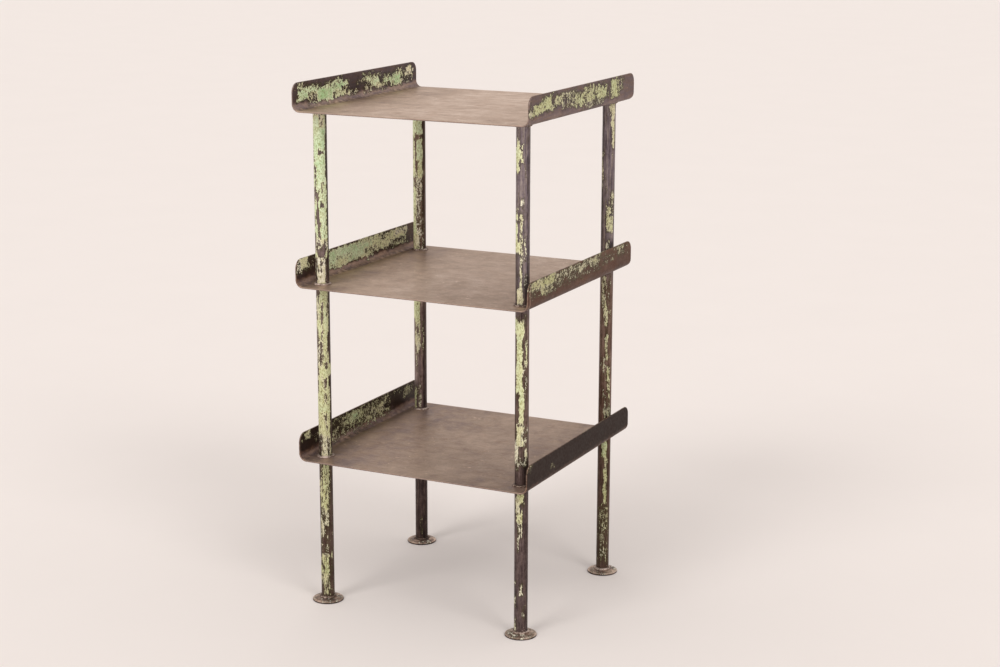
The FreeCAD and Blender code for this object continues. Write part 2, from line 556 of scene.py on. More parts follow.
# Lays patches one over another, the later ones on top.
# A patch is (along from, along to, across from, across to, value, ...).
def layPatches(fields, along, across, patches, soft):
    for alongFrom, alongTo, acrossFrom, acrossTo, *values in patches:
        insideAlong = (alongTo - alongFrom) / 2 - np.abs(along - (alongFrom + alongTo) / 2)
        insideAcross = (acrossTo - acrossFrom) / 2 - np.abs(across - (acrossFrom + acrossTo) / 2)
        inside = np.minimum(insideAlong / soft[0], insideAcross / soft[1])
        share = np.clip(0.5 + inside / 2, 0.0, 1.0)
        for field, value in zip(fields, values):
            field += share * (value - field)


def meshPoints(mesh):
    flat = np.empty(len(mesh.vertices) * 3)
    mesh.vertices.foreach_get("co", flat)
    return flat.reshape(-1, 3)


# Each field has a value for every point or face, or one number for them all
def storeFields(mesh, fields, domain="POINT"):
    size = len(mesh.vertices) if domain == "POINT" else len(mesh.polygons)
    for name, values in fields.items():
        layer = mesh.attributes.new(name, "FLOAT", domain)
        layer.data.foreach_set("value", np.full(size, values, dtype=np.float32))


def meshObject(name, points, faces):
    mesh = bpy.data.meshes.new(name)
    mesh.from_pydata(points, [], faces)
    mesh.validate()
    made = bpy.data.objects.new(name, mesh)
    bpy.context.scene.collection.objects.link(made)
    return made


def boxCentre(node):
    low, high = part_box(node)
    return (low[0] + high[0]) / 2, (low[1] + high[1]) / 2


def boxRadius(node):
    low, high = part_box(node)
    return (high[0] - low[0]) / 2


def smoothUpTo(mesh, degrees):
    mesh.shade_smooth()
    mesh.set_sharp_from_angle(angle=math.radians(degrees))


def dressPiece(piece, node, material):
    if not piece.data.materials:
        piece.data.materials.append(material)
    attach(piece, "root")
    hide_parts(node)


# Turns the live modifiers of an object into a plain mesh
def settle(piece):
    graph = bpy.context.evaluated_depsgraph_get()
    mesh = bpy.data.meshes.new_from_object(piece.evaluated_get(graph))
    piece.modifiers.clear()
    piece.data = mesh
    return mesh


# Each modifier input is set by the identifier of the socket that has its name
def runTree(piece, group, values):
    modifier = piece.modifiers.new(group.name, "NODES")
    modifier.node_group = group
    for item in group.interface.items_tree:
        if item.item_type == "SOCKET" and item.in_out == "INPUT" and item.name in values:
            modifier[item.identifier] = values[item.name]


def newTree(name, numbers, counts=()):
    group = bpy.data.node_groups.new(name, "GeometryNodeTree")
    group.interface.new_socket("Geometry", in_out="INPUT", socket_type="NodeSocketGeometry")
    for number in numbers:
        group.interface.new_socket(number, in_out="INPUT", socket_type="NodeSocketFloat")
    for count in counts:
        group.interface.new_socket(count, in_out="INPUT", socket_type="NodeSocketInt")
    group.interface.new_socket("Finish", in_out="INPUT", socket_type="NodeSocketMaterial")
    group.interface.new_socket("Geometry", in_out="OUTPUT", socket_type="NodeSocketGeometry")
    return group, addNode(group, "NodeGroupInput").outputs


def join(group, parts):
    joined = addNode(group, "GeometryNodeJoinGeometry")
    for part in parts:
        group.links.new(part, joined.inputs[0])
    return joined.outputs[0]


def endTree(group, geometry, finish):
    real = addNode(group, "GeometryNodeRealizeInstances", {"Geometry": geometry}).outputs[0]
    coated = addNode(group, "GeometryNodeSetMaterial", {"Geometry": real, "Material": finish})
    addNode(group, "NodeGroupOutput", {"Geometry": coated.outputs[0]})


# Shelves: a flat blank, with four post holes in the two lower ones, bent up at both ends
shelfSheet = {
    "thickness": 2.5 * mm,
    "bendRadius": 16.0 * mm,  # outside of the bend
    "cornerRadius": 19.0 * mm,
    "holeRadius": 13.75 * mm,
    "holeCell": 11.75 * mm,  # half the square of blank that each hole is cut from
    "holeReach": 18.1 * mm,  # how far out the blank's lines bow round a hole
    "cutEdgeRounding": 0.4 * mm,
    "cutEdgeSegments": 2,
    "cutEdgeAngle": 60,  # degrees from which an edge is rounded
    "sharpAngle": 35,  # and from which it shows as sharp
    "floorWander": 0.5 * mm,  # how far the floor strays from flat
    "endWander": 0.5 * mm,  # how far a turned-up end leans in
    "wanderSize": 5.0,  # waves to the metre
    "seed": 41,
    # Cells of the blank from its middle outwards, smaller near a hole
    "cellsAlong": (50, 2, 8, 2, 12, 8),
    "cellsAcross": (66, 2, 8, 2, 11),
    "cornerCells": 10,
    # Wear, in millimetres
    "alongWander": (7.0, 22.0, 5),
    "upWander": (4.0, 20.0, 6),
    "patchEdge": (7.0, 5.0),  # how soft the paint's patches end along the shelf and upwards
    "tone": 0.4,
    "bendPace": 6.0,  # how soon the shade changes from the floor's to the end's
    "underPaint": (0.14, 1.6),  # steel is darker where the paint has lasted
    "rust": 0.75,
    "rustWander": (0.25, 60.0, 7),
    "rustInside": 0.5,
    "brushInside": (1.0, -0.85),  # on the floor, and how it changes up the bend
    "brushOutside": (0.5, -0.3),
    "groundEdge": 0.45,
    "groundWidth": 1.2,  # of the cut edge, against its rounding
    # A bright line beside the rim, at the front of one shelf's right end
    "rimLine": {
        "shelf": "middle_shelf",
        "fromRim": 8.1,
        "halfWidth": 1.8,
        "length": 40,
        "bendFrom": 0.3,
        "share": 0.85,
    },
}
tiny = 1e-9
shelfLow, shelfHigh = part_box("top_shelf")
halfLength = shelfHigh[0]
halfDepth = shelfHigh[1]
endHeight = shelfHigh[2] - shelfLow[2]
postX, frontPostY = boxCentre("post_front_right")
postY = -frontPostY
postRadius = boxRadius("post_front_right")
bendStart = halfLength - shelfSheet["bendRadius"]
bendEnd = bendStart + shelfSheet["bendRadius"] * quarterTurn
sheetEnd = bendEnd + endHeight - shelfSheet["bendRadius"]
cornerStart = sheetEnd - shelfSheet["cornerRadius"]


def evenLines(start, stretches):
    lines = [start]
    for end, cells in stretches:
        first = lines[-1]
        lines += [first + (end - first) * step / cells for step in range(1, cells + 1)]
    return lines


def bothWays(half):
    return np.array([-line for line in half[:0:-1]] + half)


# Half the depth of the sheet at a distance along it: less at its rounded corners
def depthAt(run):
    radius = shelfSheet["cornerRadius"]
    past = np.clip(np.abs(run) - cornerStart, 0.0, radius)
    return halfDepth - radius + np.sqrt(radius ** 2 - past ** 2)


# Lines of the blank on both sides of a post's hole
def linesAtHole(post):
    cell = shelfSheet["holeCell"]
    reach = shelfSheet["holeReach"]
    return post - reach, post - cell, post + cell, post + reach


# Takes a square of cells out at each post, and bows the lines round it out to the hole's circle
def cutHoles(run, rows, faces):
    cell = shelfSheet["holeCell"]
    reach = shelfSheet["holeReach"]
    middleRun = np.abs((run[:-1, :-1] + run[1:, 1:]) / 2)
    middleRow = np.abs((rows[:-1, :-1] + rows[1:, 1:]) / 2)
    kept = np.maximum(np.abs(middleRun - postX), np.abs(middleRow - postY)) > cell
    offRun = np.abs(run) - postX
    offRow = np.abs(rows) - postY
    square = np.maximum(np.abs(offRun), np.abs(offRow))
    away = np.hypot(offRun, offRow)
    circle = shelfSheet["holeRadius"] + square - cell
    fading = np.clip((reach - square) / (reach - cell), 0.0, 1.0)
    pull = np.where(square >= cell - tiny, fading, 0.0)
    factor = 1.0 + pull * (circle / np.maximum(away, tiny) - 1.0)
    bowedRun = np.sign(run) * (postX + offRun * factor)
    bowedRows = np.sign(rows) * (postY + offRow * factor)
    return bowedRun, bowedRows, faces[kept]


def shelfBlank(name, withHoles):
    linesAlong = (*linesAtHole(postX), bendEnd, cornerStart)
    linesAcross = (*linesAtHole(postY), halfDepth)
    halfRun = evenLines(0.0, zip(linesAlong, shelfSheet["cellsAlong"]))
    halfRows = evenLines(0.0, zip(linesAcross, shelfSheet["cellsAcross"]))
    cornerCells = shelfSheet["cornerCells"]
    for step in range(1, cornerCells + 1):
        rounded = math.sin(quarterTurn * step / cornerCells)
        halfRun.append(cornerStart + shelfSheet["cornerRadius"] * rounded)
    run, rows = np.meshgrid(bothWays(halfRun), bothWays(halfRows), indexing="ij")
    number = np.arange(run.size).reshape(run.shape)
    faces = np.stack([number[:-1, :-1], number[1:, :-1], number[1:, 1:], number[:-1, 1:]], axis=-1)
    if withHoles:
        run, rows, faces = cutHoles(run, rows, faces)
    rows = rows * depthAt(run) / halfDepth
    faces = faces.reshape(-1, 4)
    used = np.unique(faces)
    renumber = np.full(run.size, -1)
    renumber[used] = np.arange(len(used))
    points = np.stack([run.ravel()[used], rows.ravel()[used], np.zeros(len(used))], axis=-1)
    return meshObject(name, points.tolist(), renumber[faces].tolist())


def bendSheetTree():
    group, given = newTree("bendSheet", (
        "Bend Start", "Bend Radius", "Thickness", "Floor Wander", "End Wander", "Wander Size",
    ), ("Seed",))
    calc = partial(doMath, group)
    bendRadius = given["Bend Radius"]

    # Where each point of the flat blank comes to lie
    position = addNode(group, "GeometryNodeInputPosition").outputs[0]
    parts = addNode(group, "ShaderNodeSeparateXYZ", {0: position}).outputs
    side = calc("SIGN", parts["X"])
    run = calc("ABSOLUTE", parts["X"])
    past = calc("SUBTRACT", run, given["Bend Start"])
    turned = calc("MINIMUM", calc("MAXIMUM", calc("DIVIDE", past, bendRadius), 0.0), quarterTurn)
    straight = calc("MAXIMUM", calc("MULTIPLY_ADD", bendRadius, -quarterTurn, past), 0.0)
    sine = calc("SINE", turned)
    cosine = calc("COSINE", turned)
    outward = calc("MULTIPLY_ADD", bendRadius, sine, calc("MINIMUM", run, given["Bend Start"]))
    rise = calc("MULTIPLY_ADD", bendRadius, calc("SUBTRACT", 1.0, cosine), straight)
    wander = addNode(group, "ShaderNodeTexNoise", {
        "Vector": position, "W": given["Seed"], "Scale": given["Wander Size"], "Detail": 1.0,
    }, noise_dimensions="4D").outputs[0]
    floorWander = calc("MULTIPLY", given["Floor Wander"], cosine)
    sag = calc("MULTIPLY", calc("SUBTRACT", wander, 0.5), floorWander)
    lean = calc("MULTIPLY", wander, calc("MULTIPLY", given["End Wander"], sine))
    bentX = calc("MULTIPLY", side, calc("SUBTRACT", outward, lean))
    bent = combine(group, bentX, parts["Y"], calc("ADD", rise, sag))
    inwardX = calc("MULTIPLY", calc("MULTIPLY", side, sine), -1.0)
    inward = combine(group, inwardX, 0.0, cosine)

    # The bent skin gets its thickness on the inside of the bend
    kept = addNode(group, "GeometryNodeStoreNamedAttribute", {
        "Geometry": given["Geometry"], "Name": "inward", "Value": inward,
    }, data_type="FLOAT_VECTOR", domain="POINT").outputs[0]
    skin = addNode(group, "GeometryNodeSetPosition", {"Geometry": kept, "Position": bent}).outputs[0]
    raised = addNode(group, "GeometryNodeExtrudeMesh", {
        "Mesh": skin, "Offset Scale": 0.0, "Individual": False,
    }).outputs
    direction = addNode(group, "GeometryNodeInputNamedAttribute", {
        "Name": "inward",
    }, data_type="FLOAT_VECTOR").outputs[0]
    through = addNode(group, "ShaderNodeVectorMath", {
        0: direction, "Scale": given["Thickness"],
    }, operation="SCALE").outputs[0]
    inner = addNode(group, "GeometryNodeSetPosition", {
        "Geometry": raised["Mesh"], "Selection": raised["Top"], "Offset": through,
    }).outputs[0]
    outer = addNode(group, "GeometryNodeFlipFaces", {"Mesh": skin}).outputs[0]
    closed = addNode(group, "GeometryNodeMergeByDistance", {
        "Geometry": join(group, (inner, outer)), "Distance": 0.001 * mm,
    }).outputs[0]
    plain = addNode(group, "GeometryNodeRemoveAttribute", {"Geometry": closed, "Name": "inward"})
    endTree(group, plain.outputs[0], given["Finish"])
    return group


# Paint left on the turned-up ends, in millimetres from the front edge and up from the underside:
# (from, to, bottom, top, cover, tone)
endPaint = {
    "top_shelf inside": [
        (20, 48, 50, 55, 0.45, 0.6), (18, 68, 19, 46, 0.74, 0.15), (60, 104, 28, 47, 0.6, 0.15),
        (57, 95, 14, 30, 0.5, 0.6), (92, 152, 13, 38, 0.92, 0.08), (120, 136, 36, 48, 0.6, 0.15),
        (148, 186, 24, 46, 0.76, 0.1), (170, 182, 44, 52, 0.55, 0.2), (182, 212, 33, 42, 0.8, 0.1),
        (156, 204, 13, 26, 0.74, 0.35), (200, 248, 14, 20, 0.68, 0.7), (250, 268, 32, 40, 0.55, 0.5),
        (273, 282, 33, 48, 0.7, 0.2), (272, 312, 14, 21, 0.55, 0.7), (290, 310, 32, 50, 0.72, 0.2),
        (308, 345, 34, 46, 0.5, 0.3), (306, 342, 22, 36, 0.8, 0.2), (326, 358, 14, 25, 0.75, 0.65),
        (354, 404, 20, 38, 0.74, 0.15), (400, 436, 15, 40, 0.86, 0.1), (416, 432, 38, 50, 0.45, 0.5),
        (451, 481, 29, 48, 0.82, 0.75), (438, 472, 17, 24, 0.5, 0.9),
    ],
    "top_shelf outside": [
        (-5, 18, 16, 28, 0.6, 0.9), (16, 64, 19, 39, 0.74, 0.5), (60, 102, 22, 49, 0.8, 0.45),
        (96, 118, 24, 32, 0.52, 0.6), (112, 146, 30, 49, 0.57, 0.6), (146, 158, 20, 33, 0.57, 0.9),
        (146, 206, 38, 50, 0.5, 0.7), (170, 210, 22, 36, 0.47, 0.7), (203, 252, 15, 42, 0.6, 0.45),
        (248, 290, 14, 50, 0.59, 0.5), (286, 322, 18, 48, 0.57, 0.45), (250, 345, 8, 18, 0.44, 0.85),
        (318, 364, 20, 48, 0.66, 0.45), (382, 418, 17, 53, 0.85, 0.45), (416, 442, 28, 52, 0.54, 0.6),
        (420, 432, 34, 44, 0.1, 0.5),
    ],
    "middle_shelf inside": [
        (0, 16, 28, 50, 0.5, 0.95), (15, 49, 32, 55, 0.84, 0.65), (49, 76, 18, 55, 0.05, 0.5),
        (76, 122, 18, 54, 0.86, 0.3), (118, 300, 17, 54, 0.92, 0.18), (156, 200, 14, 27, 0.9, 0.6),
        (156, 215, 30, 35, 0.42, 0.3), (225, 295, 47, 56, 0.5, 0.4), (255, 290, 14, 24, 0.86, 0.6),
        (296, 452, 19, 54, 0.8, 0.5), (268, 325, 26, 32, 0.35, 0.5), (338, 352, 40, 56, 0.3, 0.5),
        (386, 440, 24, 32, 0.1, 0.5), (398, 452, 40, 53, 0.56, 0.9), (452, 500, 10, 56, 0.04, 0.5),
    ],
    "middle_shelf outside": [
        (10, 345, 24, 56, 0.2, 0.9), (345, 490, 30, 56, 0.14, 0.9),
        (0, 16, 43, 51, 0.43, 0.8), (14, 68, 36, 54, 0.63, 0.65), (64, 122, 36, 56, 0.75, 0.5),
        (58, 118, 22, 37, 0.51, 0.65), (118, 160, 43, 55, 0.57, 0.85), (156, 222, 42, 55, 0.48, 0.9),
        (130, 158, 34, 44, 0.37, 0.7), (176, 212, 30, 38, 0.36, 0.95), (234, 260, 33, 50, 0.45, 0.9),
        (222, 300, 43, 54, 0.49, 0.95), (292, 336, 37, 54, 0.57, 0.7), (426, 462, 41, 55, 0.6, 0.75),
    ],
    "bottom_shelf inside": [
        (100, 350, 10, 56, 0.33, 0.4), (345, 470, 28, 56, 0.29, 0.5), (60, 100, 16, 50, 0.2, 0.5),
        (14, 44, 38, 55, 0.59, 0.6), (118, 178, 26, 50, 0.35, 0.45), (178, 252, 24, 51, 0.51, 0.35),
        (206, 236, 32, 48, 0.72, 0.15), (250, 290, 40, 49, 0.41, 0.4), (256, 312, 14, 34, 0.46, 0.5),
        (292, 346, 22, 38, 0.62, 0.6), (340, 378, 14, 24, 0.51, 0.6), (124, 186, 8, 20, 0.35, 0.6),
        (208, 248, 8, 14, 0.41, 0.6), (338, 366, 44, 52, 0.35, 0.5), (408, 452, 34, 53, 0.46, 0.5),
        (372, 428, 18, 44, 0.02, 0.5),
    ],
    "bottom_shelf outside": [
        (116, 122, 25, 28, 0.62, 1.0), (4, 22, 46, 56, 0.42, 0.9),
    ],
}
# Shade of the bare steel, 0 bright to 1 black. A painted reflection of the dark turned-up ends
# darkens the floor of a shelf near them, from left to right: (x, shade). On the ends the shade
# goes by height above the underside: (height, shade).
# All in millimetres. How far the paint is darkened is given for the inside and the outside.
steelShades = {
    "top_shelf": {
        "brushed": 1.8,
        "rusty": 0.1,
        "grime": (0.1, 0.65),
        "floor": 0.2,
        "dirtAndReflection": [(-238, 0.03), (-200, 0.09), (-160, 0.1), (-100, 0.03), (-60, 0), (90, 0), (170, 0.06)],
        "inside": [(2.5, 0.3), (4, 0.5), (9, 0.42), (14, 0.5), (19, 0.77), (56, 0.7)],
        "outside": [(0, 0.58), (8, 0.53), (20, 0.6), (56, 0.6)],
        "under": 0.62,
    },
    "middle_shelf": {
        "brushed": 0.9,
        "rusty": 0.9,
        "grime": (0.05, 0.88),
        "floor": 0.2,
        "dirtAndReflection": [(-238, 0.12), (-175, 0.15), (-120, 0.06), (-60, 0), (90, 0), (170, 0.06)],
        "inside": [(2.5, 0.3), (4, 0.5), (8, 0.44), (13, 0.5), (18, 0.78), (56, 0.8)],
        "outside": [(0, 0.66), (10, 0.72), (30, 0.68), (56, 0.62)],
        "under": 0.68,
    },
    "bottom_shelf": {
        "brushed": 0.6,
        "rusty": 1.0,
        "grime": (0.55, 0.75),
        "floor": 0.3,
        "dirtAndReflection": [(-238, 0.06), (-175, 0.11), (-110, 0.05), (0, 0), (90, 0), (170, 0.06)],
        "inside": [(2.5, 0.4), (4, 0.54), (9, 0.5), (15, 0.6), (21, 0.9), (56, 0.9)],
        "outside": [(0, 0.6), (6, 0.72), (14, 0.96), (24, 1.08), (56, 1.05)],
        "under": 0.75,
    },
}


# Where each point is on the sheet: distance along it from the middle, and distance in from
# the outside
def placeOnSheet(points):
    x = np.abs(points[:, 0])
    z = points[:, 2]
    radius = shelfSheet["bendRadius"]
    fromCentre = np.hypot(x - bendStart, radius - z)
    angle = np.arctan2(x - bendStart, radius - z)
    onFloor = x <= bendStart
    onEnd = (x > bendStart) & (z >= radius)
    run = np.where(onFloor, x, np.where(onEnd, bendEnd + z - radius, bendStart + radius * angle))
    inFrom = np.where(onFloor, z, np.where(onEnd, halfLength - x, radius - fromCentre))
    return run, inFrom


# Cover and tone of the paint. The ends that the photograph doesn't show have theirs back to front.
def paintEnds(name, run, onInside, leftEnd, along, up):
    cover = np.zeros(len(run))
    tone = np.full(len(run), shelfSheet["tone"])
    for face, onFace, seenEnd in (("inside", onInside, leftEnd), ("outside", ~onInside, ~leftEnd)):
        patches = endPaint[name + " " + face]
        for seen in (True, False):
            chosen = onFace & (seenEnd == seen) & (run > bendStart)
            place = along if seen else 2 * halfDepth / mm - along
            part = [cover[chosen], tone[chosen]]
            layPatches(part, place[chosen], up[chosen], patches, shelfSheet["patchEdge"])
            cover[chosen], tone[chosen] = part
    return cover, tone


# The least or the most that a field has at the corners of each face
def overFaces(mesh, values, pick):
    corner = np.empty(len(mesh.loops), dtype=np.int32)
    mesh.loops.foreach_get("vertex_index", corner)
    start = np.empty(len(mesh.polygons), dtype=np.int32)
    mesh.polygons.foreach_get("loop_start", start)
    return pick.reduceat(values[corner], start)


def groundFaces(mesh, name, rim, fromFront, rightOutside):
    groundWidth = shelfSheet["groundWidth"] * shelfSheet["cutEdgeRounding"]
    edge = overFaces(mesh, rim, np.maximum) < groundWidth
    cut = shelfSheet["groundEdge"] * edge
    line = shelfSheet["rimLine"]
    if name == line["shelf"]:
        fromRim = overFaces(mesh, rim, np.minimum) / mm
        onLine = np.abs(fromRim - line["fromRim"]) < line["halfWidth"]
        onLine &= overFaces(mesh, fromFront, np.minimum) < line["length"]
        onLine &= overFaces(mesh, rightOutside, np.minimum) > 0
        cut = np.where(onLine, line["share"], cut)
    return cut


def shadeShelf(mesh, name, points):
    shades = steelShades[name]
    run, inFrom = placeOnSheet(points)
    onInside = inFrom > shelfSheet["thickness"] / 2
    leftEnd = points[:, 0] < 0
    turn = np.clip((run - bendStart) / (bendEnd - bendStart), 0.0, 1.0)
    fromFront = (points[:, 1] + halfDepth) / mm
    height = points[:, 2] / mm
    along = fromFront + stray(shelfSheet["alongWander"], fromFront, height)
    up = height + stray(shelfSheet["upWander"], fromFront, height)
    cover, tone = paintEnds(name, run, onInside, leftEnd, along, up)

    # Painted reflection of the dark turned-up ends, darkening the floor near them
    dirtAndReflection = readSteps(points[:, 0] / mm, shades["dirtAndReflection"])
    flat = np.where(onInside, shades["floor"] + dirtAndReflection, shades["under"])
    upright = np.where(onInside, readSteps(up, shades["inside"]), readSteps(up, shades["outside"]))
    shade = flat + (upright - flat) * np.clip(turn * shelfSheet["bendPace"], 0.0, 1.0)
    darker, coverGain = shelfSheet["underPaint"]
    shade += darker * np.minimum(cover * coverGain, 1.0)
    patchy = shelfSheet["rust"] + stray(shelfSheet["rustWander"], fromFront, height)
    rust = shades["rusty"] * turn * patchy
    inside, outside = (first + change * turn for first, change in (
        shelfSheet["brushInside"], shelfSheet["brushOutside"],
    ))
    storeFields(mesh, {
        "paintCover": cover,
        "paintTone": tone,
        "paintDarkening": np.where(onInside, *shades["grime"]),
        "bareShade": shade,
        "rusty": np.where(onInside, shelfSheet["rustInside"] * rust, rust),
        "brushed": shades["brushed"] * np.where(onInside, inside, outside),
    })
    rim = np.minimum(depthAt(run) - np.abs(points[:, 1]), sheetEnd - run)
    elsewhere = onInside | leftEnd | (turn < shelfSheet["rimLine"]["bendFrom"])
    cut = groundFaces(mesh, name, rim, fromFront, np.where(elsewhere, 0, 1))
    storeFields(mesh, {"groundEdgeAndHighlight": cut}, "FACE")


def makeShelf(name, tree, seed):
    shelf = shelfBlank(name + "_sheet", withHoles=name != "top_shelf")
    runTree(shelf, tree, {
        "Bend Start": bendStart,
        "Bend Radius": shelfSheet["bendRadius"],
        "Thickness": shelfSheet["thickness"],
        "Floor Wander": shelfSheet["floorWander"],
        "End Wander": shelfSheet["endWander"],
        "Wander Size": shelfSheet["wanderSize"],
        "Seed": seed,
        "Finish": shelfSteel,
    })
    rounding = shelf.modifiers.new("cutEdges", "BEVEL")
    rounding.width = shelfSheet["cutEdgeRounding"]
    rounding.segments = shelfSheet["cutEdgeSegments"]
    rounding.limit_method = "ANGLE"
    rounding.angle_limit = math.radians(shelfSheet["cutEdgeAngle"])
    sheet = settle(shelf)
    shadeShelf(sheet, name, meshPoints(sheet))
    sheet.transform(Matrix.Translation((0.0, 0.0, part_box(name)[0][2])))
    smoothUpTo(sheet, shelfSheet["sharpAngle"])
    dressPiece(shelf, name, shelfSteel)
    print("shelf bent:", name, len(sheet.polygons), "faces")


bendTree = bendSheetTree()
for shelfNumber, name in enumerate(("top_shelf", "middle_shelf", "bottom_shelf")):
    makeShelf(name, bendTree, shelfSheet["seed"] + shelfNumber)

# Posts: round tube, dented a little, with the paint as the photograph shows it
postTube = {
    "wall": 2.3 * mm,
    "sides": 56,
    "ringGap": 2.8 * mm,
    "dent": 0.12 * mm,
    "dentSizes": (90.0, 60.0),
    "dentTurn": 30.0,  # millimetres of dent pattern to the radius
    "sharpAngle": 40,
    "seed": 12,
    # Wear, in millimetres up and degrees round
    "seam": 100.0,  # how far to the left the count round the tube goes
    "pastEdge": 12.0,  # how far round a patch goes that leaves the tube's outline
    "turnToWidth": 0.22,
    "alongWander": (6.0, 34.0),
    "acrossWander": (6.0, 12.0),
    "acrossPace": 0.3,
    "paintEdge": (5.0, 9.0),  # how soft patches end up the post and round it
    "hiddenEdge": (4.0, 7.0),
    "shadeEdge": (6.0, 10.0),
    "cover": 0.5,
    "tone": 0.5,
    "shade": 0.7,
    "brushed": [(5, 0.4), (300, 0.5), (360, 0.9), (1008, 1.0)],
    # The back of a post gets streaks and chips of the same kind
    "hidden": {
        "whole": (5, 1008, 100, 260),  # bottom, top, and where it is round the post
        "streaks": 46,
        "bottom": (5, 980),
        "left": (92, 250),
        "tall": (8, 110),
        "wide": (10, 46),
        "covers": (0.04, 0.2, 0.6, 0.8, 0.92),
        "tones": (0.2, 1.0),
        "cover": {"front_left": 0.8, "front_right": 0.3, "back_left": 0.5, "back_right": 0.35},
    },
}
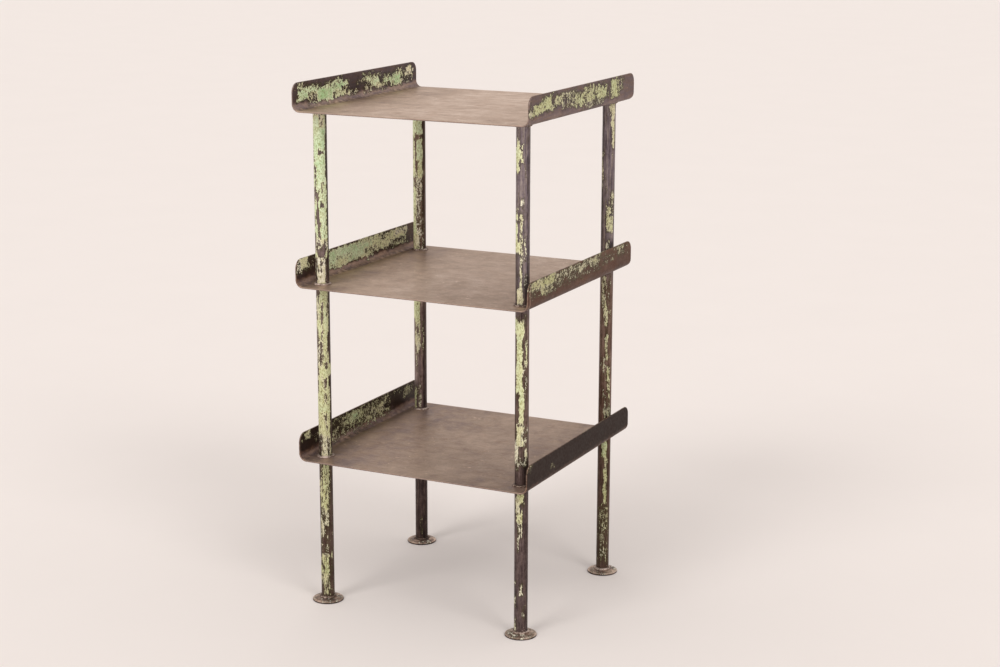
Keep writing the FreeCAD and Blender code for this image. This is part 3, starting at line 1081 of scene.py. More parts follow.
# A patch is (bottom, top, left, right, cover, tone), in millimetres up from the floor and from
# -1 at the left of the tube to 1 at its right, as the camera sees it
postPatches = {
    "front_left": [
        (664, 1008, -1.2, 1.2, 0.95, 0.25), (900, 1000, -0.85, 0.75, 1.12, 0.2),
        (994, 1008, -1.0, 0.2, 0.8, 0.9), (978, 1008, 0.05, 0.6, 0.78, 0.6),
        (880, 1008, 0.78, 1.2, 0.2, 0.3), (905, 945, 0.74, 1.2, 0.1, 0.3),
        (925, 931, -0.3, 0.5, 0.0, 0.3), (910, 915, -0.9, -0.6, 0.2, 0.3),
        (892, 900, -0.9, -0.6, 0.05, 0.3), (877, 886, -0.9, -0.6, 0.05, 0.3),
        (842, 866, -0.95, -0.65, 0.02, 0.3), (838, 853, -0.8, -0.25, 0.1, 0.3),
        (830, 845, -1.2, -0.8, 0.05, 0.3), (810, 842, -0.66, -0.36, 0.02, 0.3),
        (785, 812, -0.62, -0.24, 0.02, 0.3), (766, 788, -0.48, -0.1, 0.05, 0.3),
        (752, 770, -0.28, 0.12, 0.1, 0.3), (842, 866, 0.13, 0.42, 0.2, 0.3),
        (820, 829, 0.05, 0.5, 0.02, 0.3), (794, 800, -0.95, -0.78, 0.1, 0.3),
        (780, 787, -0.95, -0.78, 0.1, 0.3), (756, 765, -0.98, -0.75, 0.1, 0.3),
        # The low cover past -0.94 on the left, and past -0.88 lower down, is partly painted shade of
        # the tube's dark edge
        (664, 930, 0.82, 1.2, 0.08, 0.3), (664, 1008, -1.3, -0.94, 0.45, 0.5),
        (728, 756, -1.2, 0.9, 0.56, 0.7), (718, 738, -0.6, 0.5, 0.05, 0.5),
        (668, 720, -0.75, 0.52, 0.98, 0.95), (708, 713, -0.15, 0.2, 0.1, 0.9),
        (690, 697, -0.48, -0.1, 0.1, 0.9), (694, 716, -1.1, -0.62, 0.3, 0.8),
        (664, 690, -1.2, -0.75, 0.1, 0.8), (664, 716, 0.55, 1.2, 0.05, 0.8),
        (308, 664, -1.2, 1.2, 0.88, 0.45), (308, 664, -1.3, -0.88, 0.5, 0.6),
        (636, 661, -1.2, -0.36, 0.25, 0.6), (500, 661, 0.78, 1.2, 0.08, 0.6),
        (590, 640, -1.1, -0.5, 0.6, 0.7), (566, 622, -0.16, 0.0, 0.2, 0.6),
        (600, 624, 0.62, 0.84, 0.35, 0.6), (556, 592, -0.22, -0.1, 0.15, 0.6),
        (540, 570, -1.2, -0.75, 0.2, 0.6), (518, 552, -1.1, -0.6, 0.3, 0.6),
        (514, 552, -0.5, -0.1, 0.3, 0.6), (530, 566, 0.66, 0.95, 0.1, 0.6),
        (500, 530, -1.0, -0.5, 0.66, 0.9), (498, 516, -0.5, -0.2, 0.4, 0.6),
        (494, 505, 0.3, 0.52, 0.2, 0.6), (480, 492, -0.95, -0.7, 0.25, 0.6),
        (468, 482, -0.4, -0.2, 0.25, 0.6), (444, 472, 0.0, 0.36, 0.16, 0.6),
        (454, 478, 0.66, 0.9, 0.15, 0.6), (395, 442, -1.0, 0.75, 0.86, 0.42),
        (421, 438, 0.1, 0.32, 0.12, 0.5), (352, 396, -1.0, 0.8, 0.8, 0.6),
        (368, 396, 0.06, 0.36, 0.3, 0.6), (310, 352, -1.2, -0.38, 0.26, 0.9),
        (310, 352, -0.4, 0.0, 0.66, 0.8), (310, 356, 0.0, 0.75, 0.62, 0.8),
        (310, 480, 0.85, 1.2, 0.06, 0.6), (5, 308, -1.2, 1.2, 0.16, 0.6),
        (234, 300, -0.6, 0.6, 0.72, 0.42), (240, 272, -1.0, -0.4, 0.66, 0.6),
        (276, 300, -1.2, -0.5, 0.2, 0.5), (262, 272, -1.1, -0.8, 0.25, 0.5),
        (218, 238, -0.9, 0.46, 0.72, 0.5), (196, 220, -0.7, 0.5, 0.66, 0.5),
        (160, 198, -0.8, 0.5, 0.56, 0.8), (140, 166, -0.8, -0.2, 0.62, 0.85),
        (162, 176, 0.0, 0.34, 0.66, 0.8), (134, 144, -1.1, -0.8, 0.5, 0.9),
        (112, 128, -1.1, -0.6, 0.5, 0.9), (104, 140, -0.3, 0.4, 0.3, 1.0),
        (88, 103, -1.1, 0.8, 0.6, 0.6), (54, 92, -1.1, 0.3, 0.68, 0.42),
        (76, 86, -0.9, -0.4, 0.3, 0.5), (38, 56, -1.1, -0.6, 0.6, 0.6),
        (36, 56, -0.55, 0.3, 0.64, 0.6), (16, 40, -0.4, 0.5, 0.64, 0.6),
        (24, 32, -0.1, 0.12, 0.2, 0.6),
    ],
    "front_right": [
        (664, 1008, -1.2, 1.2, 0.06, 0.6), (955, 981, -0.85, -0.5, 0.88, 0.5),
        (940, 966, -1.1, -0.2, 0.88, 0.4), (915, 944, -0.92, -0.6, 0.95, 0.5),
        (938, 970, -0.27, -0.04, 0.95, 0.5), (856, 868, -0.32, -0.02, 0.95, 1.0),
        (828, 846, -1.0, -0.62, 0.8, 0.5), (660, 842, -0.36, -0.1, 0.96, 0.6),
        (762, 822, -1.2, -0.75, 0.88, 0.45), (764, 792, -1.2, -0.1, 0.84, 0.5),
        (760, 786, 0.24, 0.52, 0.85, 0.6), (793, 801, 0.3, 0.52, 0.7, 0.6),
        (700, 718, 0.05, 0.46, 0.55, 0.95), (664, 700, -0.82, 0.02, 0.82, 0.75),
        (355, 664, -1.2, 1.2, 0.08, 0.6), (606, 642, -1.2, -0.6, 0.94, 0.45),
        (604, 634, -0.7, 0.2, 0.96, 0.5), (632, 650, 0.36, 0.66, 0.5, 0.5),
        (498, 606, -0.82, 0.06, 0.99, 0.4), (458, 500, -0.42, 0.26, 0.98, 0.4),
        (434, 460, -0.46, 0.2, 0.86, 0.5), (425, 438, -0.42, 0.0, 0.24, 0.5),
        (388, 428, -0.78, 0.3, 0.93, 0.65), (404, 412, -0.05, 0.4, 0.3, 0.6),
        (545, 600, 0.38, 0.72, 0.66, 0.5), (498, 532, 0.4, 0.7, 0.46, 0.85),
        (394, 424, 0.55, 0.8, 0.45, 0.8), (366, 404, -1.2, -0.8, 0.55, 0.8),
        (354, 392, -1.1, -0.46, 0.68, 0.85), (352, 382, 0.26, 0.72, 0.8, 0.7),
        (352, 364, -0.6, 0.4, 0.6, 0.85), (362, 388, -0.42, 0.24, 0.04, 0.6),
        (308, 353, -1.2, 1.2, 0.0, 0.6), (345, 350, -0.8, -0.5, 0.6, 1.0),
        (5, 308, -1.2, 1.2, 0.02, 0.6), (272, 296, -0.68, 0.32, 0.95, 0.5),
        (256, 282, -0.86, -0.3, 0.88, 0.85), (230, 260, -0.66, 0.12, 0.9, 0.6),
        (203, 230, -0.56, 0.1, 0.6, 0.9), (176, 204, -0.58, -0.36, 0.66, 0.8),
        (84, 108, -0.18, 0.2, 0.86, 0.95), (105, 113, -0.98, -0.76, 0.8, 1.0),
        (64, 86, -0.98, -0.74, 0.8, 1.0), (28, 36, -0.96, -0.74, 0.7, 1.0),
        (13, 24, -0.96, -0.76, 0.8, 1.0), (40, 58, 0.2, 0.5, 0.38, 1.0),
    ],
    "back_left": [
        (664, 1008, -1.2, 0.5, 0.8, 0.4), (664, 1008, 0.52, 1.2, 0.04, 0.4),
        (914, 1008, -1.2, 0.46, 0.9, 0.3), (903, 915, -0.6, 0.5, 0.2, 0.3),
        (850, 916, -0.62, -0.38, 0.06, 0.3), (860, 903, -0.36, 0.5, 0.96, 0.28),
        (860, 912, -1.0, -0.62, 0.62, 0.5), (820, 860, -0.3, 0.5, 0.92, 0.45),
        (822, 856, -0.58, -0.28, 0.1, 0.5), (806, 820, -0.9, -0.6, 0.2, 0.5),
        (772, 822, -0.5, 0.5, 0.58, 0.85), (700, 774, -0.5, 0.5, 0.46, 1.0),
        (668, 702, -0.88, 0.0, 0.96, 0.8), (664, 702, 0.0, 0.5, 0.3, 1.0),
        (790, 800, -1.0, -0.7, 0.5, 0.5), (308, 664, -1.2, 1.2, 0.04, 0.5),
        (504, 664, -1.2, 0.0, 0.97, 0.45), (455, 506, -0.78, 0.06, 0.84, 0.6),
        (470, 478, -0.7, 0.0, 0.2, 0.6), (484, 498, -0.6, -0.3, 0.3, 0.6),
        (444, 508, 0.34, 0.6, 0.6, 0.6), (436, 476, -0.7, 0.0, 0.76, 0.7),
        (400, 440, -0.76, -0.48, 0.6, 0.7), (424, 452, -0.28, 0.06, 0.4, 1.0),
        (357, 366, -0.2, 0.16, 0.72, 1.0), (334, 342, -0.34, 0.1, 0.7, 1.0),
        (314, 330, -0.26, 0.1, 0.74, 1.0), (308, 362, -1.1, -0.55, 0.6, 0.5),
        (376, 384, -0.2, 0.05, 0.4, 1.0), (5, 308, -1.2, 1.2, 0.02, 0.5),
        (54, 61, -0.1, 0.06, 0.62, 1.0), (37, 43, -0.1, 0.06, 0.62, 1.0),
        (24, 30, -0.1, 0.06, 0.62, 1.0),
    ],
    "back_right": [
        (664, 1008, -1.2, 1.2, 0.04, 0.6), (915, 1008, 0.35, 0.8, 0.8, 0.7),
        (984, 1008, 0.0, 0.85, 0.74, 0.7), (830, 912, -1.1, -0.78, 0.5, 0.6),
        (824, 836, -0.98, -0.8, 0.5, 0.9), (824, 838, -0.55, -0.2, 0.42, 0.9),
        (824, 832, 0.5, 0.68, 0.6, 0.9), (740, 800, -0.32, 0.86, 0.7, 0.6),
        (784, 822, 0.34, 0.86, 0.62, 0.6), (776, 782, 0.2, 0.86, 0.3, 0.6),
        (716, 726, -0.05, 0.4, 0.42, 0.4), (704, 716, -0.26, 0.32, 0.72, 1.0),
        (338, 664, -1.2, 1.2, 0.05, 0.6), (576, 650, -0.8, -0.16, 0.68, 0.6),
        (556, 588, -0.5, 0.24, 0.66, 0.6), (540, 560, -0.26, 0.24, 0.68, 0.6),
        (598, 648, 0.2, 0.5, 0.46, 0.9), (556, 582, 0.34, 0.66, 0.4, 0.6),
        (516, 532, -0.16, 0.12, 0.5, 1.0), (474, 522, -0.22, 0.26, 0.7, 0.55),
        (454, 474, -0.62, -0.46, 0.7, 0.8), (454, 472, -0.36, -0.1, 0.5, 0.9),
        (455, 459, -1.0, 0.2, 0.6, 0.8), (398, 458, 0.16, 0.68, 0.74, 0.5),
        (428, 452, -0.44, -0.28, 0.66, 0.9), (384, 412, -0.46, -0.18, 0.56, 1.0),
        (345, 400, 0.4, 0.78, 0.62, 0.6), (344, 390, -0.16, 0.12, 0.66, 0.9),
        (338, 366, -0.2, 0.85, 0.58, 0.7), (5, 338, -1.2, 1.2, 0.03, 0.5),
        (255, 308, -0.56, 0.38, 0.86, 0.3), (234, 256, 0.04, 0.42, 0.7, 0.7),
        (154, 236, -0.12, 0.46, 0.82, 0.45), (20, 152, -0.9, 0.9, 0.24, 0.5),
        (136, 150, -0.24, 0.66, 0.52, 0.6), (98, 134, -0.46, 0.56, 0.46, 0.6),
        (66, 92, -0.24, 0.24, 0.54, 0.6), (36, 60, -0.46, 0.44, 0.5, 0.9),
    ],
}
# Shade of a post's bare steel: (bottom, top, left, right, shade). The darker bands at a post's left
# and right edges, as the camera sees it, are painted shade.
postShades = {
    "front_left": [(5, 1008, -1.3, 0.7, 0.42), (5, 1008, 0.72, 1.3, 0.8), (5, 320, -1.2, 1.2, 0.74)],
    "front_right": [
        (5, 1008, -1.3, 0.62, 0.33), (650, 1008, -1.3, -0.5, 0.46), (650, 1008, 0.7, 1.3, 0.62),
        (355, 664, -1.3, 1.3, 0.58),
        (5, 356, -1.3, 0.3, 0.66), (5, 356, 0.3, 1.3, 0.76),
    ],
    "back_left": [
        (664, 1008, -1.3, 0.5, 0.36), (664, 1008, 0.5, 1.3, 0.8), (308, 664, -1.3, 1.3, 0.38),
        (308, 664, 0.4, 1.3, 0.8), (5, 308, -1.3, 1.3, 0.82),
    ],
    "back_right": [
        (664, 1008, -1.3, -0.72, 0.7), (664, 1008, -0.72, 1.3, 0.44), (308, 664, -1.3, 1.3, 0.52),
        (5, 308, -1.3, -0.4, 0.8), (5, 308, -0.4, 1.3, 0.72),
    ],
}
# How warm and brown that steel is, by height in millimetres: (height, share)
postRust = {
    "front_left": [(5, 0.5), (300, 0.4), (664, 0.3), (1008, 0.15)],
    "front_right": [(5, 0.25), (320, 0.25), (400, 0.45), (620, 0.4), (690, 0.0)],
    "back_left": [(5, 0.32), (300, 0.22), (664, 0.5), (1008, 0.6)],
    "back_right": [(5, 0.5), (150, 0.6), (320, 0.7), (620, 0.6), (690, 0.0)],
}
# How far the paint is darkened, by height: more towards the bottom
postPaintDarkening = {
    "front_left": [(5, 0.85), (300, 0.62), (664, 0.2), (1008, 0.0)],
    "front_right": [(5, 0.6), (300, 0.45), (664, 0.15), (1008, 0.0)],
    "back_left": [(5, 0.8), (300, 0.62), (664, 0.3), (1008, 0.15)],
    "back_right": [(5, 0.85), (300, 0.72), (664, 0.45), (1008, 0.35)],
}


# From -1 to 1 across the tube to degrees round it
def toTurn(across):
    turn = math.degrees(math.asin(max(-1.0, min(1.0, across))))
    return turn + math.copysign(postTube["pastEdge"], across) if abs(across) > 1 else turn


def roundPost(patches):
    return [
        (bottom, top, toTurn(left), toTurn(right), *values)
        for bottom, top, left, right, *values in patches
    ]


def hiddenPatches(corner, seed):
    dice = random.Random(seed)
    hidden = postTube["hidden"]
    patches = [(*hidden["whole"], hidden["cover"][corner], postTube["tone"])]
    for _ in range(hidden["streaks"]):
        bottom = dice.uniform(*hidden["bottom"])
        left = dice.uniform(*hidden["left"])
        top = bottom + dice.uniform(*hidden["tall"])
        right = left + dice.uniform(*hidden["wide"])
        cover = dice.choice(hidden["covers"])
        patches.append((bottom, top, left, right, cover, dice.uniform(*hidden["tones"])))
    return patches


def shadePost(mesh, corner, points, centre, seed):
    offset = points[:, :2] - centre
    height = points[:, 2] / mm
    facing = math.radians(view["turn"]) - quarterTurn
    turn = np.degrees(np.arctan2(offset[:, 1], offset[:, 0]) - facing)
    turn = (turn + postTube["seam"]) % 360.0 - postTube["seam"]
    width = turn * postTube["turnToWidth"]
    along = height + stray((*postTube["alongWander"], seed), height, width)
    steep = height * postTube["acrossPace"]
    across = turn + stray((*postTube["acrossWander"], seed + 1), steep, width)
    cover = np.full(len(points), postTube["cover"])
    tone = np.full(len(points), postTube["tone"])
    shade = np.full(len(points), postTube["shade"])
    for fields, patches, edge in (
        ([cover, tone], hiddenPatches(corner, seed), "hiddenEdge"),
        ([cover, tone], roundPost(postPatches[corner]), "paintEdge"),
        ([shade], roundPost(postShades[corner]), "shadeEdge"),
    ):
        layPatches(fields, along, across, patches, postTube[edge])
    storeFields(mesh, {
        "paintCover": cover,
        "paintTone": tone,
        "paintDarkening": readSteps(height, postPaintDarkening[corner]),
        "bareShade": shade,
        "rusty": readSteps(height, postRust[corner]),
        "groundEdgeAndHighlight": 0.0,
        "brushed": readSteps(height, postTube["brushed"]),
    })


def makePost(corner, seed):
    low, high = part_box("post_" + corner)
    centre = boxCentre("post_" + corner)
    sides = postTube["sides"]
    rings = round((high[2] - low[2]) / postTube["ringGap"])
    turns = np.linspace(0.0, 2.0 * math.pi, sides, endpoint=False)
    angle, level = np.meshgrid(turns, np.linspace(low[2], high[2], rings + 1))
    dentTurn = postTube["dentTurn"]
    first, second = postTube["dentSizes"]
    dents = wobble(level / mm, np.cos(angle) * dentTurn, first, seed)
    dents *= wobble(level / mm, np.sin(angle) * dentTurn, second, seed + 7)
    outer = postRadius - postTube["dent"] * np.clip(np.abs(dents), 0.0, 1.0)
    # The bore is one ring at the top and one at the bottom
    inner = np.full((2, sides), postRadius - postTube["wall"])
    radius = np.vstack([outer, inner])
    angle = np.vstack([angle, angle[:2]])
    level = np.vstack([level, np.full((1, sides), high[2]), np.full((1, sides), low[2])])
    x = centre[0] + radius * np.cos(angle)
    y = centre[1] + radius * np.sin(angle)
    points = np.stack([x, y, level], axis=-1)
    faces = []
    for ring in range(len(points)):
        here = ring * sides
        above = (ring + 1) % len(points) * sides
        for side in range(sides):
            beside = (side + 1) % sides
            faces.append((here + side, here + beside, above + beside, above + side))
    post = meshObject("post_tube_" + corner, points.reshape(-1, 3).tolist(), faces)
    shadePost(post.data, corner, meshPoints(post.data), centre, seed)
    smoothUpTo(post.data, postTube["sharpAngle"])
    dressPiece(post, "post_" + corner, postPaint)


for cornerNumber, corner in enumerate(corners):
    makePost(corner, postTube["seed"] + 10 * cornerNumber)
print("posts stood up")

# Feet: turned discs with a domed top and a rim worn by use
footDisc = {
    "rimHeight": 3.0 * mm,
    "rimRounding": 1.0 * mm,
    "landRadius": 17.95 * mm,  # the flat middle, which carries the post and its weld
    "bottomRounding": 0.4 * mm,
    "domeStop": 0.7,  # where the dome ends before the rim, and how far the rim's top then
    "rimDrop": 0.9,  # falls, both as shares of the rim's rounding
    "rimWear": 0.3 * mm,
    "wornFrom": 0.9,  # share of the radius where that wear starts
    "wornPace": 10.0,
    "nickTurn": 50.0,  # millimetres of nick pattern to the radius
    "nickSize": 34.0,
    "sides": 96,
    "domeSteps": 10,
    "rimSteps": 4,
    "bottomSteps": 3,
    "sharpAngle": 35,
    "seed": 70,
    # A painted highlight runs round the top of a foot, where the rounded rim catches the light
    "highlightFromRim": 1.4 * mm,  # a bright ring runs round the top, close to its edge
    "highlightWidth": 1.5 * mm,
    "highlightBrighter": 0.3,
    "highlightGround": 0.6,
    "sideFrom": 0.97,  # share of the radius where the side of the rim starts
    # The side of the rim is darkened as painted shade under the rim
    "rimSideShadow": 0.6,
    "patchSize": 30.0,
    "patchShade": 0.2,
    "patchCover": 0.1,
    "grime": 0.15,
    "rust": 0.1,
    # Specks of paint dropped on each foot, and the shade of its steel
    "specks": {
        "front_left": (0.14, 0.37),
        "front_right": (0.24, 0.31),
        "back_left": (0.1, 0.4),
        "back_right": (0.16, 0.35),
    },
}
footLook = {
    **shelfLook,
    "stretch": (1.0, 1.0, 1.0),
    "streak": ((80.0, 80.0, 80.0), 0.2),
    "brush": (120.0, 120.0, 120.0),
    "pull": 0.0,
    "speckle": 0.55,
}
footSteel = paintedSteel("wornFootSteel", footLook)


# Radius of the dome that falls from a foot's flat middle to its rim
def footDome(radius, height):
    reach = radius - footDisc["landRadius"]
    rise = height - footDisc["rimHeight"]
    return (reach ** 2 + rise ** 2) / (2 * rise)


# Half the foot's section, from the middle of its top out and round to the middle underneath
def footOutline(radius, height):
    land = footDisc["landRadius"]
    rounding = footDisc["rimRounding"]
    small = footDisc["bottomRounding"]
    dome = footDome(radius, height)
    outline = [(0.0, height), (land * 0.5, height), (land, height)]
    for step in range(1, footDisc["domeSteps"] + 1):
        out = (radius - land - footDisc["domeStop"] * rounding) * step / footDisc["domeSteps"]
        outline.append((land + out, height - dome + math.sqrt(dome ** 2 - out ** 2)))
    for step in range(1, footDisc["rimSteps"] + 1):
        turn = quarterTurn * step / footDisc["rimSteps"]
        down = rounding * (1 - math.cos(turn)) * footDisc["rimDrop"]
        outline.append((radius - rounding * (1 - math.sin(turn)), footDisc["rimHeight"] - down))
    for step in range(footDisc["bottomSteps"] + 1):
        turn = quarterTurn * step / footDisc["bottomSteps"]
        outline.append((radius - small * (1 - math.cos(turn)), small * (1 - math.sin(turn))))
    outline += [(radius * 0.6, 0.0), (0.0, 0.0)]
    return outline


def shadeFoot(mesh, corner, centre, seed):
    place = meshPoints(mesh)
    away = np.hypot(place[:, 0] - centre[0], place[:, 1] - centre[1])
    # Painted highlight: a bright ring just inside the rim
    fromHighlight = away - away.max() + footDisc["highlightFromRim"]
    ring = np.exp(-(fromHighlight / footDisc["highlightWidth"]) ** 2)
    side = np.clip((footDisc["rimHeight"] - place[:, 2]) / mm, 0.0, 1.0)
    side *= away > away.max() * footDisc["sideFrom"]
    onTop = 1.0 - side
    patchy = wobble(place[:, 0] / mm, place[:, 1] / mm, footDisc["patchSize"], seed + 3)
    specks, steel = footDisc["specks"][corner]
    shade = steel + footDisc["patchShade"] * patchy - footDisc["highlightBrighter"] * ring * onTop
    storeFields(mesh, {
        "paintCover": np.clip(specks + footDisc["patchCover"] * patchy, 0.0, 1.0) * onTop,
        "paintTone": 1.0,
        "paintDarkening": footDisc["grime"],
        "rusty": footDisc["rust"],
        # Painted shade on the rim's side
        "bareShade": shade + footDisc["rimSideShadow"] * side,
        "groundEdgeAndHighlight": footDisc["highlightGround"] * ring * onTop,
        "brushed": 1.0,
    })


def makeFoot(corner, seed):
    node = "foot_" + corner
    centre = boxCentre(node)
    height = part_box(node)[1][2]
    sides = footDisc["sides"]
    inner = np.array(footOutline(boxRadius(node), height)[1:-1])
    turns = np.linspace(0.0, 2.0 * math.pi, sides, endpoint=False)
    nickTurn = footDisc["nickTurn"]
    nicks = wobble(np.cos(turns) * nickTurn, np.sin(turns) * nickTurn, footDisc["nickSize"], seed)
    worn = footDisc["rimWear"] * np.clip(nicks, 0.0, 1.0)
    pastStart = inner[:, 0] / inner[:, 0].max() - footDisc["wornFrom"]
    nearRim = np.clip(pastStart * footDisc["wornPace"], 0.0, 1.0)
    radius = inner[:, 0][:, None] - nearRim[:, None] * worn[None, :]
    x = centre[0] + radius * np.cos(turns)
    y = centre[1] + radius * np.sin(turns)
    z = np.repeat(inner[:, 1][:, None], sides, axis=1)
    points = np.stack([x, y, z], axis=-1).reshape(-1, 3).tolist()
    top = len(points)
    points += [(*centre, height), (*centre, 0.0)]
    faces = []
    for ring in range(len(inner) - 1):
        here = ring * sides
        below = here + sides
        for side in range(sides):
            beside = (side + 1) % sides
            faces.append((here + side, below + side, below + beside, here + beside))
    last = (len(inner) - 1) * sides
    for side in range(sides):
        beside = (side + 1) % sides
        faces.append((top, side, beside))
        faces.append((top + 1, last + beside, last + side))
    foot = meshObject("foot_disc_" + corner, points, faces)
    shadeFoot(foot.data, corner, centre, seed)
    smoothUpTo(foot.data, footDisc["sharpAngle"])
    dressPiece(foot, node, footSteel)


for cornerNumber, corner in enumerate(corners):
    makeFoot(corner, footDisc["seed"] + 10 * cornerNumber)
print("feet turned")

# Welds: a bead of overlapping ripples all round the post, with spatter beside it.
# Two numbers are the least and the most of a draw.
weldBead = {
    "leg": 4.5 * mm,
    "ripples": 34,
    "rippleSize": 3.35 * mm,
    "rippleCentre": 0.75 * mm,  # out from the post and up from the seat
    "rippleSteps": (-0.18, 0.18),  # how unevenly they follow each other, in steps
    "rippleLean": (0.35, 0.6),
    "rippleScale": (0.92, 1.08),
    "rippleFlatness": 0.34,
    "ringShare": 0.9,  # thickness of the ring under the ripples, against theirs
    "ringSides": (72, 14),
    "wander": 0.35 * mm,
    "spatter": 12,
    "hangingSpatter": 3,
    "spatterReach": 11.0 * mm,
    "crowding": 1.6,  # how much more of the spatter lies close to the bead
    "onSeat": (0.07, 0.2),  # size of droplets, against the leg
    "onPost": (0.06, 0.15),
    "climb": (0.9, 3.2),  # how far they ran up the post, against the leg
    "dropletFlatness": 0.65,
    "sunk": 0.35 * mm,  # how far it goes into the post and the seat
    "flatSeat": 10.0,  # a flat seat counts as a dome of ten metres
    "seed": 200,
    # Which copy of the weld metal each post's beads take: at its foot, on the two lower shelves and at
    # the top. The bright copies at the right-hand feet partly paint the highlights those beads catch.
    "finishes": {
        "front_left": ("brown", "bright", "brown"),
        "front_right": ("bright", "brown", "brown"),
        "back_left": ("dark", "pale", "brown"),
        "back_right": ("bright", "brown", "brown"),
    },
}


# Nothing sinks through the seat or into the post's bore
def keepOut(group, given, geometry):
    calc = partial(doMath, group)
    position = addNode(group, "GeometryNodeInputPosition").outputs[0]
    parts = addNode(group, "ShaderNodeSeparateXYZ", {0: position}).outputs
    flat = stretched(group, position, (1.0, 1.0, 0.0))
    reach = addNode(group, "ShaderNodeVectorMath", {0: flat}, operation="LENGTH").outputs["Value"]
    least = calc("SUBTRACT", given["Post Radius"], given["Sunk"])
    push = calc("DIVIDE", calc("MAXIMUM", reach, least), calc("MAXIMUM", reach, 1.0 * mm))
    overBead = calc("LESS_THAN", reach, calc("ADD", given["Post Radius"], given["Leg"]))
    # Beyond the bead the limit is a metre lower, which is none
    lowest = calc("MULTIPLY_ADD", given["Sunk"], -1.0, calc("SUBTRACT", overBead, 1.0))
    x = calc("MULTIPLY", parts["X"], push)
    y = calc("MULTIPLY", parts["Y"], push)
    kept = combine(group, x, y, calc("MAXIMUM", parts["Z"], lowest))
    trimmed = addNode(group, "GeometryNodeSetPosition", {"Geometry": geometry, "Position": kept})
    return trimmed.outputs[0]


def weldTree():
    group, given = newTree("weldRing", (
        "Post Radius", "Leg", "Ripple Size", "Ripple Centre", "Wander",
        "Spatter Reach", "Seat Curve", "Bend Side", "Sunk",
    ), ("Ripples", "Spatter", "Seed"))
    calc = partial(doMath, group)
    postSize, leg, centre = given["Post Radius"], given["Leg"], given["Ripple Centre"]

    def chance(least, most, offset):
        made = addNode(group, "FunctionNodeRandomValue", data_type="FLOAT")
        number = {socket.name: at for at, socket in enumerate(made.inputs) if socket.enabled}
        seed = calc("ADD", given["Seed"], float(offset))
        feed(group, made, {number["Min"]: least, number["Max"]: most, number["Seed"]: seed})
        return next(socket for socket in made.outputs if socket.enabled)

    def ringPlace(angle, away, height):
        x = calc("MULTIPLY", away, calc("COSINE", angle))
        y = calc("MULTIPLY", away, calc("SINE", angle))
        return combine(group, x, y, height)

    def circle(resolution, radius):
        return addNode(group, "GeometryNodeCurvePrimitiveCircle", {
            "Resolution": resolution, "Radius": radius,
        }).outputs[0]

    ball = addNode(group, "GeometryNodeMeshIcoSphere", {"Radius": 1.0, "Subdivisions": 2}).outputs[0]

    def scatter(count, position, rotation, scale, chosen=True):
        spots = addNode(group, "GeometryNodePoints", {"Count": count, "Position": position}).outputs[0]
        return addNode(group, "GeometryNodeInstanceOnPoints", {
            "Points": spots,
            "Selection": chosen,
            "Instance": ball,
            "Rotation": rotation,
            "Scale": scale,
        }).outputs[0]

    # Solid ring under the ripples
    centreLine = calc("ADD", postSize, centre)
    sidesAlong, sidesRound = weldBead["ringSides"]
    ringRadius = calc("MULTIPLY", given["Ripple Size"], weldBead["ringShare"])
    ring = addNode(group, "GeometryNodeCurveToMesh", {
        "Curve": circle(sidesAlong, centreLine),
        "Profile Curve": circle(sidesRound, ringRadius),
    }).outputs[0]
    ring = addNode(group, "GeometryNodeTransform", {
        "Geometry": ring, "Translation": combine(group, z=centre),
    }).outputs[0]

    # Ripples leaning one over the next
    index = addNode(group, "GeometryNodeInputIndex").outputs[0]
    step = calc("DIVIDE", 2.0 * math.pi, given["Ripples"])
    angle = calc("MULTIPLY", calc("ADD", index, chance(*weldBead["rippleSteps"], 1)), step)
    offLine = calc("MULTIPLY", given["Wander"], chance(-1.0, 1.0, 2))
    away = calc("ADD", centreLine, offLine)
    lean = combine(group, x=chance(*weldBead["rippleLean"], 3), z=angle)
    size = calc("MULTIPLY", given["Ripple Size"], chance(*weldBead["rippleScale"], 4))
    coin = combine(group, size, calc("MULTIPLY", size, weldBead["rippleFlatness"]), size)
    ripples = scatter(
        given["Ripples"], ringPlace(angle, away, calc("SUBTRACT", centre, offLine)), lean, coin,
    )

    # Droplets on the seat, following its dome, but none where the sheet bends up
    spread = calc("POWER", chance(0.0, 1.0, 5), weldBead["crowding"])
    spread = calc("MULTIPLY", given["Spatter Reach"], spread)
    beadEdge = calc("ADD", postSize, leg)
    away = calc("ADD", beadEdge, spread)
    angle = chance(0.0, 2.0 * math.pi, 6)
    dome = given["Seat Curve"]
    squares = calc("SUBTRACT", calc("MULTIPLY", dome, dome), calc("MULTIPLY", spread, spread))
    drop = calc("SUBTRACT", calc("SQRT", squares), dome)
    size = calc("MULTIPLY", leg, chance(*weldBead["onSeat"], 7))
    sideways = calc("MULTIPLY", away, calc("COSINE", angle))
    towardBend = calc("MULTIPLY", sideways, given["Bend Side"])
    clear = calc("LESS_THAN", towardBend, beadEdge)
    flattened = combine(group, size, size, calc("MULTIPLY", size, weldBead["dropletFlatness"]))
    droplets = scatter(
        given["Spatter"], ringPlace(angle, away, drop), combine(group, z=angle), flattened, clear,
    )

    # Droplets that ran up the post
    angle = chance(0.0, 2.0 * math.pi, 8)
    climb = calc("MULTIPLY", leg, chance(*weldBead["climb"], 9))
    size = calc("MULTIPLY", leg, chance(*weldBead["onPost"], 10))
    runs = scatter(
        given["Spatter"], ringPlace(angle, postSize, climb), (0.0, 0.0, 0.0),
        combine(group, size, size, size),
    )

    real = addNode(group, "GeometryNodeRealizeInstances", {
        "Geometry": join(group, (ring, ripples, droplets, runs)),
    }).outputs[0]
    endTree(group, keepOut(group, given, real), given["Finish"])
    return group


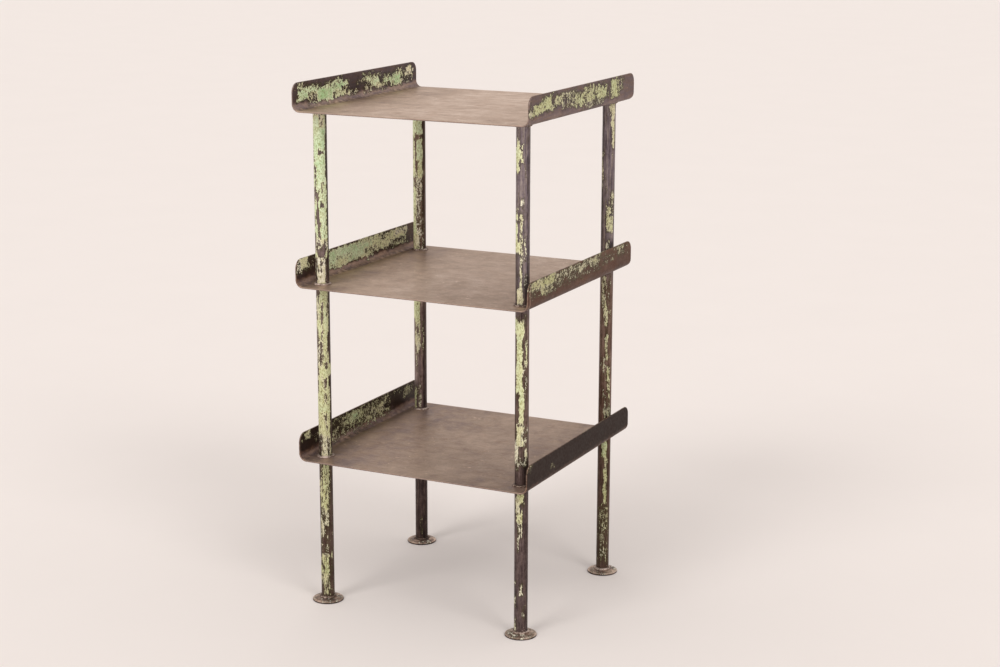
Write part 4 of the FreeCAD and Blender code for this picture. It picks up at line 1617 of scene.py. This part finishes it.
def makeWeld(
    node, corner, tree, finish, seed, seat, dome=weldBead["flatSeat"], bendSide=0.0, hanging=False,
):
    weld = meshObject(node + "_bead", [(0.0, 0.0, 0.0)], [])
    runTree(weld, tree, {
        "Post Radius": postRadius,
        "Leg": weldBead["leg"],
        "Ripple Size": weldBead["rippleSize"],
        "Ripple Centre": weldBead["rippleCentre"],
        "Wander": weldBead["wander"],
        "Spatter Reach": weldBead["spatterReach"],
        "Seat Curve": dome,
        "Bend Side": bendSide,
        "Sunk": weldBead["sunk"],
        "Ripples": weldBead["ripples"],
        "Spatter": weldBead["hangingSpatter"] if hanging else weldBead["spatter"],
        "Seed": seed,
        "Finish": weldBeadTones[finish],
    })
    mesh = settle(weld)
    if hanging:
        mesh.transform(Matrix.Scale(-1.0, 4, Vector((0.0, 0.0, 1.0))))
        mesh.flip_normals()
    mesh.transform(Matrix.Translation((*boxCentre("post_" + corner), seat)))
    mesh.shade_smooth()
    dressPiece(weld, node, weldBeadTones[finish])


def weldCorner(corner, tree, seed):
    footBeadTone, shelfBeadTone, topBeadTone = weldBead["finishes"][corner]
    bendSide = 1.0 if "right" in corner else -1.0
    foot = "foot_" + corner
    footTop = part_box(foot)[1][2]
    dome = footDome(boxRadius(foot), footTop)
    makeWeld("foot_weld_" + corner, corner, tree, footBeadTone, seed, footTop, dome=dome)
    for level, name in enumerate(("bottom_shelf", "middle_shelf"), 1):
        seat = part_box(name)[0][2] + shelfSheet["thickness"]
        node = name + "_weld_" + corner
        makeWeld(node, corner, tree, shelfBeadTone, seed + level, seat, bendSide=bendSide)
    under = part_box("top_shelf")[0][2]
    node = "top_shelf_weld_" + corner
    makeWeld(node, corner, tree, topBeadTone, seed + 4, under, bendSide=bendSide, hanging=True)


ringTree = weldTree()
for cornerNumber, corner in enumerate(corners):
    weldCorner(corner, ringTree, weldBead["seed"] + 10 * cornerNumber)
print("welds run")

# Plain pale floor and soft light
studio = {
    "floorColour": screenColour(240, 234, 231),
    "floorMottle": 1.03,
    "floorGrain": (3.0, 5.0, 0.6),  # scale, detail and roughness
    "floorRoughness": 0.75,
    "floorSpecular": 0.2,
    "floorSize": 60.0,
    "skyColour": screenColour(250, 244, 240),
    "skyStrength": 0.78,
    "lampColour": (1.0, 0.97, 0.94),
    "lampAim": (0.0, 0.0, 0.55),
    # Soft lamps far off, name: (place, softness in degrees, strength)
    "lamps": {
        "leftLamp": ((-0.8, -3.0, 3.0), 24.0, 0.8),
        "rightLamp": ((2.7, -1.5, 3.0), 24.0, 0.65),
    },
}


def layFloor():
    half = studio["floorSize"] / 2
    square = [(-half, -half, 0), (half, -half, 0), (half, half, 0), (-half, half, 0)]
    floor = meshObject("pale_floor", square, [(0, 1, 2, 3)])
    material, tree, shader, place = freshMaterial("paleFloor")
    paler = tuple(min(1.0, level * studio["floorMottle"]) for level in studio["floorColour"])
    mottle = grainField(tree, place, *studio["floorGrain"])
    feed(tree, shader, {
        "Base Color": blendColours(tree, mottle, studio["floorColour"], paler),
        "Roughness": studio["floorRoughness"],
        "Specular IOR Level": studio["floorSpecular"],
    })
    floor.data.materials.append(material)


def lightSky():
    world = bpy.data.worlds.new("studioSky")
    bpy.context.scene.world = world
    world.use_nodes = True
    sky = world.node_tree.nodes["Background"]
    feed(world.node_tree, sky, {"Color": studio["skyColour"], "Strength": studio["skyStrength"]})


def hangLamp(name, place, softness, strength):
    lamp = bpy.data.lights.new(name, "SUN")
    lamp.angle = math.radians(softness)
    lamp.energy = strength
    lamp.color = studio["lampColour"]
    holder = bpy.data.objects.new(name, lamp)
    bpy.context.scene.collection.objects.link(holder)
    holder.location = place
    aim = Vector(studio["lampAim"]) - Vector(place)
    holder.rotation_euler = aim.to_track_quat("-Z", "Y").to_euler()


layFloor()
lightSky()
for name, lamp in studio["lamps"].items():
    hangLamp(name, *lamp)
print("studio lit")
